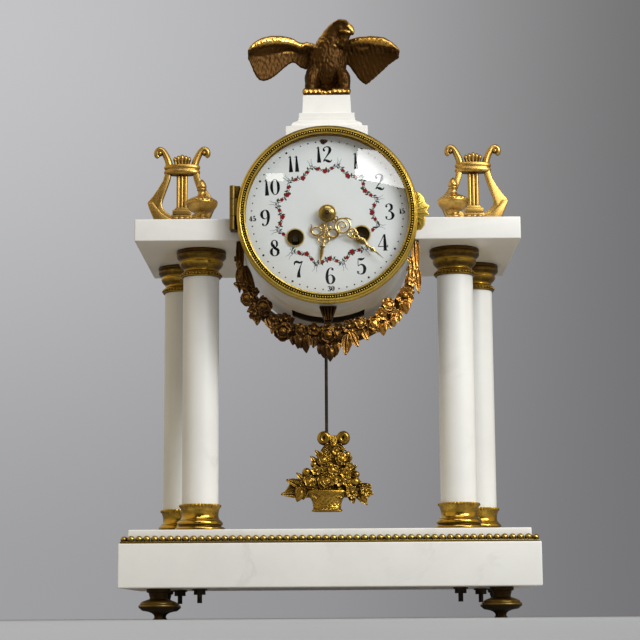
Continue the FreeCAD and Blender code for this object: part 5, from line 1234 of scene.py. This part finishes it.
for top in LUG_FLUTES:
    swag.append(tube([(top, -51.6, 186.1, 0.78), (top * 0.45, -51.2, 177.6, 0.36)], count=10))
points, _, sides = fused(swag, voxel=0.32, ease=1)
points[:, 0] *= SWAG_WIDTH
points[:, 2] = np.minimum(points[:, 2], SWAG_TOP)
piece("swag_chased", (points, sides), swag_gilt, "swag", crease=180)

# The pendulum is a plain blackened rod on a short spring, with a bob cast as a basket of flowers tied
# with a bow. The casting is flat behind and was chased and gilt.
BOB_FRONT = -1.0
BOB_DEPTHS = (-5.4, 6.98)
BOB_HEIGHTS = (65.5, 116.75)
BASKET_AT = (-1.6, 1.5)
BASKET = [
    (8, 65.6), (8.6, 65.9), (8.8, 66.6), (8.5, 67.2), (8.6, 67.8), (8.9, 68.3), (8.6, 68.9),
    (8.7, 70.4), (9.3, 72.4), (10.6, 74.6), (13.4, 76.6), (14.8, 77.8), (13.6, 79), (9, 79.4),
]
HEAP = [
    (-29, 76.8), (-21, 75), (-14, 74.6), (13, 74.6), (22, 72.6), (26, 76), (23, 81.4), (18.6, 85.6),
    (17, 91), (13.6, 95), (11.4, 100), (8.6, 104), (7.4, 108), (2.7, 110), (-3, 107.6), (-5, 103.6),
    (-7.6, 98.4), (-9.6, 92.6), (-14.4, 90.6), (-17.6, 86), (-24.4, 84),
]
BOB_ROSES = [
    (-3.4, 97.6, 4.5), (7.6, 98.4, 4.2), (-1.9, 84.2, 5.9), (-12.6, 84.0, 4.4), (1.8, 91.2, 4.2),
]
BOB_FLOWERS = [
    (-2.5, 102.4, 3, 5, 1), (10.4, 89.2, 3.7, 5, 2), (13.9, 77.5, 4.6, 9, 3), (22.4, 78.6, 4.2, 8, 4),
    (-8.2, 91.2, 3.4, 5, 5), (6.2, 84.4, 3.5, 5, 6), (-8.4, 76.8, 3.3, 5, 7), (6.4, 77, 3.4, 5, 8),
    (11.4, 83.6, 3.4, 5, 13), (4.2, 103.4, 2.8, 5, 9), (12.6, 93.6, 3, 5, 10), (-17.8, 80, 3.4, 5, 11),
    (-3.2, 75.8, 3, 5, 12), (2, 76.2, 2.8, 5, 14),
]
BOB_BERRIES = [
    (16.2, 84, 3.1), (-14.3, 90.3, 2.8), (-9.6, 95, 2.2), (2.6, 107, 2), (11.4, 101.2, 2), (0.8, 88, 2),
    (17, 88.6, 2),
]
BOB_LEAVES = [
    ((-13, 81), (-27, 85.6), 6.2), ((-14, 77.5), (-30.4, 76.6), 6.2), ((-13, 82.5), (-20.6, 90), 4.6),
    ((14, 80), (27.4, 76.3), 5.6), ((17, 77.5), (23.6, 69.6), 4.8), ((13, 77), (15.2, 70.6), 5),
    ((11, 91), (17.4, 94.2), 4.4), ((11.5, 88.5), (18.2, 90), 4.2), ((-7.5, 95.5), (-11.8, 100.4), 4),
    ((-5.5, 99.6), (-8.8, 104.2), 3.6), ((10, 96.5), (14.6, 99.8), 3.8), ((18, 80.5), (26, 82.2), 4.4),
]
BOB_BUDS = [(3.1, (-17.0, 80.0), (-20.4, 71.8)), (2.4, (20.4, 76.4), (22.8, 70.6))]
BOB_FILLING = 42
BOW_X = 2.7
BOW_HEIGHT = 111.7
WEAVE_DEPTH = 0.5
WOVEN = (69.0, 77.5)
TWISTS = 26
TWIST_HEIGHT = 66.5


def flattened(shape, depth, centre):
    return [(x + centre[0], y * depth + centre[1], z) for x, y, z in shape[0]], shape[1]


def weave(angle, radius, height):
    strands = math.sin(angle * 18) * math.sin(height * 2.1)
    return WEAVE_DEPTH * strands if WOVEN[0] < height < WOVEN[1] else 0.0


keep(black_iron, "pendulum_rod", crease=40.0)
bob_gilt = gilt_finish(
    "bob_gilt", (0.52, 0.315, 0.050), (0.045, 0.019, 0.004), rough=0.24, grain=0.12, level=0.9)
bob = [flattened(lathe([tuple(p) for p in rounded(BASKET, 3)], 180, weave), 0.42, BASKET_AT)]
for angle in around(TWISTS):
    twist = tube([(-0.9, 0, -0.55, 0.35), (0, -0.4, 0, 0.62), (0.9, 0, 0.55, 0.35)], count=6)
    spot = shift(BASKET_AT[0] + 8.8 * math.cos(angle), BASKET_AT[1] + 3.7 * math.sin(angle), TWIST_HEIGHT)
    bob.append(moved(twist, spin(angle + math.pi / 2, "Z"), spot))
bob.append(moved(cut_sheet(HEAP, thick=5.6, bevel=1.0), shift(0, 2.6, 0)))
for seed, (x, z, radius) in enumerate(BOB_ROSES, 1):
    bob.append(placed(rose(radius, seed + 30), (x, BOB_FRONT - 0.4, z), (x * 0.01, -1, 0.05), 50 * seed))
for x, z, radius, petals, seed in BOB_FLOWERS:
    flower = open_flower(radius, petals, seed + 40)
    bob.append(placed(flower, (x, BOB_FRONT - 0.8, z), (x * 0.012, -1, -0.08), 20 * seed))
for x, z, radius in BOB_BERRIES:
    bob.append(moved(ball(radius, 10, 16), shift(x, BOB_FRONT + 0.4, z)))
for start, tip, width in BOB_LEAVES:
    bob.append(leaf(start, tip, width, BOB_FRONT + 0.6, bend=0.06))
for radius, start, tip in BOB_BUDS:
    bob.append(bud(radius, start, tip, BOB_FRONT + 0.4))
for x, side in ((-3.3, -1), (8.8, 1)):
    bow = []
    for angle in around(24):
        bow.append((x + 2.2 * math.cos(angle), BOB_FRONT + 2.2, BOW_HEIGHT + 2.5 * math.sin(angle), 2.15))
    bob.append(tube(bow, count=12, flat=1.3, closed=True))
    bob.append(leaf((BOW_X + side * 1.2, 107.6), (BOW_X + side * 8.0, 103.6), 3.6, BOB_FRONT + 0.8, 0.1))
for index in range(5):
    away = -2.2 + 1.1 * index
    strand = [(away, 0.8, 113.2, 0.66), (away * 0.66, -0.2, 108.4, 0.55), (away, 0.6, 103.9, 0.66)]
    bob.append(tube([(BOW_X + x, BOB_FRONT + y, z, radius) for x, y, z, radius in strand]))
chance = random.Random(33)
for index in range(BOB_FILLING):
    z = chance.uniform(78, 105)
    reach = np.interp(z, (78, 90, 104), (17.0, 11.5, 5.0))
    x = 0.4 + chance.uniform(-reach, reach)
    if index % 3 == 0:
        bob.append(moved(ball(chance.uniform(1.0, 1.5), 6, 10), shift(x, BOB_FRONT - 0.2, z)))
    elif index % 3 == 1:
        bob.append(placed(open_flower(chance.uniform(1.6, 2.4), 5, index), (x, BOB_FRONT - 0.2, z)))
    else:
        turn = chance.uniform(0, 2 * math.pi)
        tip = away_from(x, z, 4.2, turn)
        bob.append(leaf((x, z), tip, width=3.0, front=BOB_FRONT + 0.2))
points, _, sides = fused(bob, voxel=0.26, ease=1)
points[:, 1] = np.clip(points[:, 1], *BOB_DEPTHS)
points[:, 2] = np.clip(points[:, 2], *BOB_HEIGHTS)
piece("pendulum_basket", (points, sides), bob_gilt, "pendulum_bob", body="pendulum", crease=180)

# The urns over the front columns are turned gilt brass: a low foot, a wide bowl with a milled rim and
# a tall acorn finial. Each screws on its tie rod as the nut.
URN = [
    (1.55, 241), (5.8, 241), (5.95, 241.5), (5.7, 242.3), (4.7, 243.3), (3.7, 244.7), (3.3, 246.4),
    (3.5, 247.2), (4.3, 247.7), (4.6, 248.4), (4.3, 249.1), (3.6, 249.6), (3.4, 250.6), (3.9, 251.9),
    (5.2, 252.7), (6.8, 253.5), (8.4, 254.9), (9.5, 256.5), (9.9, 257.6), (10, 258.3), (9.75, 258.7),
    (9.95, 259.1), (9.8, 259.6), (9.2, 260.1), (7.8, 260.9), (6, 261.8), (4.4, 262.6), (3.1, 263.3),
    (2.6, 264), (2.35, 265), (2.4, 266.2), (2.75, 266.6), (3.1, 267), (3.1, 267.5), (2.75, 267.8),
    (2.6, 268), (2.9, 268.3), (3.05, 268.9), (2.95, 269.8), (2.5, 271.2), (1.75, 272.5), (0.9, 273.5),
    (0.25, 273.98),
]
MILL_CUTS = 26
MILL_DEPTH = 0.22
MILLED = (259.0, 262.0)


def milled_rim(angle, radius, height):
    cut = MILL_DEPTH * math.sin(angle * MILL_CUTS) * radius / 10
    return cut if MILLED[0] < height < MILLED[1] else 0.0


ornament_gilt = gilt_finish(
    "ornament_gilt", (0.62, 0.39, 0.11), (0.055, 0.024, 0.005), rough=0.34, patina_and_shade=0.96, reach=0.0045,
    grain=0.06, level=0.4)
for side in ("left", "right"):
    urn = moved(lathe(URN, 156, milled_rim), shift(*COLUMNS["column_front_" + side], 0))
    piece("urn_" + side + "_turned", urn, ornament_gilt, "urn_" + side, crease=55)

# The lyres over the rear columns are cast gilt bronze: two bent arms that end in scrolled horns, a
# banded yoke with a palmette, and three reeds for the strings. Each screws on its tie rod.
ARM_OUT = [
    (0, 6.2), (8, 7.6), (14.2, 12.6), (18.6, 19.8), (21.4, 26.4), (22.7, 30.6), (19.2, 34.8),
    (15.6, 40), (12.4, 45.6), (11, 51),
]
ARM_IN = [
    (7.1, 51), (7.9, 46), (10.1, 39.6), (12.3, 33.6), (13.2, 30.2), (12.4, 26.8), (10, 24), (6.5, 22),
    (0, 21),
]
BOWL_IN = [(18.4, 30.6), (16.6, 27.6), (13.4, 23.8), (9.0, 20.4), (4.6, 18.6), (0.0, 18.0)]
HORN = [
    (8.1, 54.5, 2.5), (9.0, 58.5, 2.4), (10.8, 62.8, 2.2), (12.9, 66.1, 2.0), (15.0, 67.0, 1.95),
    (16.7, 65.6, 1.9), (16.9, 63.2, 1.75), (15.8, 61.8, 1.3),
]
YOKE = [
    (9, 49.4), (11.3, 49.9), (12, 50.8), (12, 51.9), (11.5, 52.6), (11.2, 53), (11.5, 53.4), (12, 54),
    (12, 55), (11.4, 55.9), (9, 56.4),
]
PALMETTE = [(-4.7, 1.35, 61.6), (-2.5, 1.5, 62.5), (0, 1.8, 63.2), (2.5, 1.5, 62.5), (4.7, 1.35, 61.6)]
PEDESTAL = (-6.0, -3.2, 22.2), (6.0, 3.2, 25.2)
PEDESTAL_FOOT = (-6.8, -2.8, 18.6), (6.8, 2.8, 22.2)
FLARE = [(-6.0, 25.1), (6.0, 25.1), (4.6, 25.9), (3.8, 27.0), (-3.8, 27.0), (-4.6, 25.9)]
LYRE_FOOT = [
    (1.55, 0), (8.3, 0), (8.5, 0.4), (8.2, 1.2), (6.8, 2.2), (5.4, 3), (4.6, 4.4), (4.2, 6), (4.4, 8),
    (1.55, 8.4),
]
LYRES = {"lyre_left": (-96.4, 34.2), "lyre_right": (96.4, 34.2)}
lyre = []
for side in (-1, 1):
    lyre.append(cut_sheet([(side * x, z) for x, z in ARM_OUT + ARM_IN], thick=4.6, bevel=0.7))
    lyre.append(cut_sheet([(side * x, z) for x, z in ARM_OUT[:6] + BOWL_IN], thick=6.2, bevel=0.7))
    lyre.append(tube([(side * x, 0, z, r) for x, z, r in rounded(HORN, 5)], count=14, flat=1.1))
    for depth in (-1.7, 1.7):
        lyre.append(moved(ball(1.3), shift(side * 14.6, depth, 64.2)))
lyre.append(flattened(lathe(YOKE, 72), depth=0.40, centre=(0, 0)))
for x, radius, top in PALMETTE:
    lobe = [(x * 0.8, -0.6, 55.6, radius * 0.7), (x * 0.92, -0.6, 58.2, radius * 0.8),
            (x, -0.6, top - 1.6, radius), (x * 1.04, -0.6, top, radius * 0.45)]
    lyre.append(tube(rounded(lobe, 4), count=12, flat=1.4))
for x in (-2.4, 0, 2.4):
    lyre.append(moved(lathe([(1.25, 24.0), (1.25, 51.0)], 20), shift(x, 0, 0)))
lyre += [block(*PEDESTAL, edge=0.4), cut_sheet(FLARE, thick=5.2, bevel=0.3)]
lyre.append(block(*PEDESTAL_FOOT, edge=0.6))
for x in (-3.6, 0.0, 3.6):
    lyre.append(moved(ball(1.7), Matrix.Diagonal((1.2, 1.0, 0.8, 1)), shift(x, -2.6, 19.6)))
lyre.append(lathe(LYRE_FOOT, 48))
for name, spot in LYRES.items():
    piece(name + "_cast", moved(joined(lyre), shift(*spot, AXIS)), ornament_gilt, name, crease=45)

# The plinth over the drum is built up of marble: a plate hollowed to sit on the drum, a rounded
# moulding, a step and a tapering block that carries the eagle.
PLINTH_Y = -10.0
PLATE_HALF = 25.6
PLATE_TOP = [(25.6, 303.5), (25.3, 303.8), (-25.3, 303.8), (-25.6, 303.5)]
MOULDING = [
    (23, 303.7), (22.6, 303.9), (22.3, 304.3), (22.2, 305.4), (21.6, 306.7), (20.4, 307.8),
    (19.2, 308.5), (18.6, 308.9), (18.4, 309.2), (18.1, 309.4), (17.9, 309.8), (17.9, 311.2),
    (17.5, 311.5), (17.5, 314.3), (17.2, 314.6), (16, 314.6), (15.7, 314.9), (15.45, 315.6),
    (14.9, 326.6), (14.6, 327),
]


def square_turn(profile):
    """A square moulding from half widths and heights."""
    verts = []
    for half, height in profile:
        for x, y in ((-1, -1), (1, -1), (1, 1), (-1, 1)):
            verts.append((x * half, PLINTH_Y + y * half, height))
    return verts, skin_of(len(profile), 4)


plinth_marble = marble_finish("plinth_marble", grime_and_shade=0.3)
seat = []
for step in range(25):
    x = -PLATE_HALF + 2 * PLATE_HALF * step / 24
    seat.append((x, AXIS + math.sqrt(HOLLOW ** 2 - x * x)))
plate = from_bmesh(drawn_out([*PLATE_TOP, *seat], PLINTH_Y - PLATE_HALF, PLINTH_Y + PLATE_HALF))
plinth = joined([plate, square_turn(MOULDING)])
piece("eagle_plinth_cut", plinth, plinth_marble, "eagle_plinth", slot="white_marble", crease=25)

# The eagle is hollow cast bronze, fire-gilt: it stands with spread wings and turned head on a knotted
# thunderbolt. The gilding is painted bright on the wing rolls, claws and upward faces as light from above.
# It is brown on the faces that look down, the lower wing panels and the middle of the body and head, partly
# as worn gilding and partly as painted shade.
EAGLE_AT = (0.0, -10.0, 327.0)
EAGLE_TOP = 379.95
EYE = (10.4, -11.6, 46.4)
LOOK_UP = 0.306
BODY = [
    ((0, 4.2, 3), 6.4, 4), ((0, 3.6, 9), 8.4, 5), ((0, 1.4, 15), 11.2, 7), ((0, -0.2, 21), 12.6, 8),
    ((0.2, -0.6, 27), 12.4, 8.2), ((0.6, -1, 32), 11, 7.8), ((1.4, -1.8, 36.5), 9.4, 7.2),
    ((3.2, -2.8, 41), 8.2, 6.6), ((5.6, -3.8, 45.5), 7.2, 6.2), ((7.4, -4.4, 49.5), 5.6, 5.2),
    ((8.8, -4.6, 52.4), 2.6, 2.6),
]
LEFT_WING = [
    (-5, 19, 36.4, 0.6, 2.8), (-11, 20.6, 38.2, 0, 2.9), (-16.7, 22.6, 38.4, -0.6, 3),
    (-21.5, 26, 41, -1.6, 3.3), (-27, 22.6, 42.5, -3, 3.7), (-33.9, 16.5, 42.9, -4.8, 3.9),
    (-40.6, 13.7, 41.7, -6.6, 3.7), (-45, 16.6, 39.4, -8, 3.2), (-48.2, 24, 36.6, -9.2, 2.6),
    (-50.2, 28.6, 33.6, -10, 1.8),
]
RIGHT_WING = [
    (6, 20, 36.6, 0.6, 2.6), (10, 22.4, 38.4, 0, 2.8), (14, 24, 40, -0.6, 2.9),
    (17.8, 18.4, 41.1, -1.5, 3.1), (21.5, 13.6, 41.8, -2.4, 3.3), (25.4, 10.9, 42.1, -3.4, 3.6),
    (30, 14.4, 42.1, -4.8, 4), (35.9, 19.8, 41.3, -6.4, 4.1), (40.2, 24, 39.2, -7.8, 3.7),
    (43.8, 26.6, 36.3, -9, 3), (46.7, 28.6, 32.6, -10, 1.7),
]
BEAK = [(12.2, -8.4, 46.2, 3.7), (14.6, -9.4, 45.0, 3.2), (16.0, -9.8, 42.9, 2.4), (15.6, -9.8, 41.2, 1.2)]
BROW = [(4.6, -9.4, 48.4, 1.2), (8.4, -11.2, 49.9, 1.7), (12.0, -11.4, 49.2, 1.7), (15.0, -10.6, 47.0, 1.0)]
CHEEK = [(8.5, -10.2, 43.2, 1.2), (12.0, -11.6, 42.6, 1.5), (15.0, -11.2, 41.6, 1.0)]
THROAT = [(13.6, -8.6, 42.6, 2.4), (11.4, -7.4, 39.4, 3.4), (8.6, -5.6, 35.6, 3.8)]
BOLT = [
    (-14.4, -7.0, 2.4, 1.9), (-8, -7.4, 2.4, 2.3), (0, -7.4, 2.3, 2.0), (8, -7.4, 2.4, 2.3),
    (14.2, -7.0, 2.4, 1.9),
]
PERCH = (-13.4, -11.8, 0.0), (13.4, 8.8, 2.0)


def loft(rings, count=28):
    """A body through oval rings of place, half width and half depth."""
    rings = rounded([(*place, wide, deep) for place, wide, deep in rings], 4)
    verts = []
    for x, y, z, wide, deep in rings:
        for angle in around(count):
            verts.append((x + wide * math.cos(angle), y + deep * math.sin(angle), z))
    return verts, skin_of(len(rings), count)


def wing(rows):
    """A thick roll over a hollow panel, in slices of x, low edge, high edge, depth and roll."""
    rows = rounded(rows, 5)
    verts = []
    for x, low, high, depth, roll in rows:
        drop = LOOK_UP * (depth + 4.0)
        centre = high + drop - roll
        foot = low + drop
        for step in range(17):
            angle = math.radians(-70 + 255 * step / 16)
            verts.append((x, depth - roll * math.cos(angle), centre + roll * math.sin(angle)))
        back = [(0.85 * roll + 0.6, 0.25), (0.7 * roll + 1.4, 0.5), (0.5 * roll + 2.4, 0.75),
                (0.3 * roll + 3.4, 0.97), (0.3 * roll + 2.6, 1.0)]
        front = [(0.3 * roll + 1.7, 0.96), (0.3 * roll + 1.5, 0.72), (0.35 * roll + 1.1, 0.48),
                 (0.45 * roll + 0.4, 0.24)]
        for away, share in back + front:
            height = centre - roll * 0.6 + (foot - centre + roll * 0.6) * share
            verts.append((x, depth + away, height))
    return verts, skin_of(len(rows), len(verts) // len(rows))


# Upward faces, rolls and claws are painted bright as light from above. Faces that look down, the lower wing
# panels and the middle are painted darker as shade, with some wear.
eagle_gilt = gilt_finish(
    "eagle_gilt", (0.72, 0.43, 0.11), (0.046, 0.017, 0.002), rough=0.26, patina_and_shade=0.975, reach=0.007,
    under=1.4, level=-1.4,
    shade_fades=[("z", 331.0, 333.5, 1.88), ("z", 361.5, 356.5, 1.2), ("z", 369.5, 372.0, 0.35),
           ("both x", 17.0, 12.5, 0.85)])
skull = moved(ball(1.0, 12, 20), Matrix.Diagonal((6.6, 6.0, 4.9, 1)), shift(10.2, -6.0, 46.6))
eagle = [loft(BODY), wing(LEFT_WING), wing(RIGHT_WING), skull, tube(rounded(BEAK, 4), 14)]
eagle += [tube(BROW, 12), tube(CHEEK, 12), tube(THROAT, 14)]
for side, spread in ((-1, 10.0), (1, 11.2)):
    thigh = [((side * 7.6, -2.6, 22), 3.8, 4.2), ((side * (spread - 0.6), -4.6, 15.5), 4.5, 5.2),
             ((side * spread, -5.6, 9), 3.9, 4.6), ((side * (spread + 0.2), -6.4, 4.0), 3.3, 3.6)]
    eagle.append(loft(thigh, 20))
    for toe in range(4):
        x = side * (4.4 + 2.95 * toe)
        claw = [(x, -5.0, 4.0, 1.9), (x + side * 0.2, -9.4, 4.3, 2.0), (x + side * 0.3, -11.6, 2.9, 1.8),
                (x, -12.2, 0.9, 0.9)]
        eagle.append(tube(rounded(claw, 4), 14))
for x, radius in ((-1.6, 1.7), (1.5, 1.8)):
    eagle.append(moved(ball(radius), shift(x, -10.6, 2.6)))
eagle.append(tube(rounded(BOLT, 5), 14, up=(0, 0, 1)))
eagle.append(block(*PERCH, edge=0.5))
for x in (-5.6, -1.9, 1.9, 5.6):
    feather = petal(13.0, 4.6, cup=0.3, lift=0.0, thick=1.8, point=0.25)
    feather = moved(feather, spin(math.radians(62), "Y"), spin(math.radians(90 + x * 2), "Z"))
    eagle.append(moved(feather, shift(x * 0.6, 3.0, 14.0)))
points, normals, sides = fused(eagle, voxel=0.40, ease=5)
for index, (point, normal) in enumerate(zip(points, normals)):
    x, y, z = point
    lump = noise.noise(Vector((x * 0.30, y * 0.30, z * 0.22)))
    streak = noise.noise(Vector((x * 0.8, y * 0.6, z * 0.42)))
    if abs(x) < 13 and 8 < z < 41:
        lap = 0.55 * streak + 0.35 * lump
    elif abs(x) >= 13 and normal[2] < 0.35:
        lap = 0.07 * math.sin((x + (0.35 if x > 0 else -0.35) * z) * 2.2) + 0.2 * streak
    else:
        lap = 0.22 * lump
    lap -= 0.9 * math.exp(-(math.dist(point, EYE) / 1.5) ** 2)
    points[index] = point + normal * lap
points[:, 2] = np.maximum(points[:, 2], 0.0)
points = points + np.array(EAGLE_AT)
points[:, 2] = np.minimum(points[:, 2], EAGLE_TOP)
piece("eagle_cast", (points, sides), eagle_gilt, "eagle", crease=180)

# The clock stands on a plain pale table before a grey studio wall, which is lighter at its left and
# darker at its right. The dark room and its warm sides show only in the gilding.
FLOOR_HALF = 6.0
WALL = [
    (0.0, (0.56, 0.56, 0.575)), (0.5, (0.425, 0.425, 0.435)), (0.8, (0.26, 0.26, 0.265)),
    (1.0, (0.145, 0.145, 0.148)),
]
HORIZON = (0.18, 0.18, 0.19)
ROOM_DARK = (0.035, 0.030, 0.024)
ROOM_WARM = (0.63, 0.51, 0.29)
pale_table, tone = new_finish("pale_table")
table_tone = tone.speckle(3.0, 2.0).blend((0.36, 0.37, 0.40), (0.41, 0.42, 0.45))
tone.surface(Base_Color=table_tone, Roughness=0.55)
table_top = bpy.data.meshes.new("table_top")
corners = [(x * FLOOR_HALF, y * FLOOR_HALF, 0) for x, y in ((-1, -1), (1, -1), (1, 1), (-1, 1))]
table_top.from_pydata(corners, [], [[0, 1, 2, 3]])
table_top.materials.append(pale_table)
in_scene("table_top", table_top)

studio = bpy.data.worlds.new("studio")
bpy.context.scene.world = studio
studio.use_nodes = True
studio.node_tree.nodes.clear()
sky = Tone(studio.node_tree)
ahead = sky.node("ShaderNodeTexCoord", output="Generated")
side_x, side_y, side_z = (ahead.part(axis) for axis in range(3))
wall = sky.node("ShaderNodeValToRGB", {"stops": WALL}, {0: side_x.between(-0.24, 0.24)})
wall = side_z.between(0.0, 0.34, 0.55, 0.0).blend(wall, HORIZON)
room = abs(side_x).between(0.30, 0.62).blend(ROOM_DARK, ROOM_WARM)
room = side_y.between(0.1, 0.6).blend(room, wall)
glow = sky.node("ShaderNodeBackground", values={"Color": room, "Strength": 1.0})
sky.node("ShaderNodeOutputWorld", values={"Surface": glow})


# Soft boxes light it: a large cool one at the right, a small leaning one that the glass mirrors, a
# broad one above, and a weak warm fill at the left.
def soft_box(name, at, aim, wide, high, power, colour=(1, 1, 1), lean=0.0):
    lamp = bpy.data.lights.new(name, "AREA")
    lamp.shape = "RECTANGLE"
    lamp.size = wide
    lamp.size_y = high
    lamp.energy = power
    lamp.color = colour
    face = (Vector(aim) - Vector(at)).to_track_quat("-Z", "Y").to_matrix()
    face = face @ Matrix.Rotation(math.radians(lean), 3, "Z")
    in_scene(name, lamp).matrix_world = Matrix.Translation(at) @ face.to_4x4()


soft_box("key_box", (0.98, -0.98, 0.86), aim=(0.0, -0.03, 0.22), wide=0.70, high=0.50, power=15.0,
         colour=(0.93, 0.98, 1.0))
soft_box("front_box", (0.445, -1.30, 0.92), aim=(0.0, -0.05, 0.25), wide=0.45, high=0.27, power=2.8,
         lean=-14)
soft_box("top_box", (0.10, -0.75, 1.50), aim=(0.0, 0.0, 0.2), wide=1.1, high=0.7, power=6.2)
soft_box("left_fill", (-0.42, -1.35, 0.86), aim=(0.0, -0.05, 0.25), wide=0.14, high=0.07, power=0.15,
         colour=(1.0, 0.97, 0.85))

# The camera stands as the photograph was taken, a little over a metre before the clock and low down,
# looking slightly up. The focus is in pixels of a square picture.
FOCUS = 1760.92
PICTURE = 640.0
SENSOR = 36.0
EYE_AT = (3.32, -1100.5, 0.59)
RIGHT = (0.999942, 0.008833, -0.006113)
DOWN = (-0.0075, 0.166661, -0.985986)
AHEAD = (-0.007691, 0.985975, 0.166718)
camera = bpy.data.cameras.new("camera")
camera.sensor_width = SENSOR
camera.lens = FOCUS * SENSOR / PICTURE
camera.clip_start = 0.01
camera.clip_end = 50.0
stand = Matrix.Identity(4)
for row in range(3):
    stand[row][:3] = RIGHT[row], -DOWN[row], -AHEAD[row]
stand.translation = Vector(EYE_AT) * MM
eye = in_scene("camera", camera)
eye.matrix_world = stand
bpy.context.scene.camera = eye
bpy.context.scene.view_settings.view_transform = "Standard"
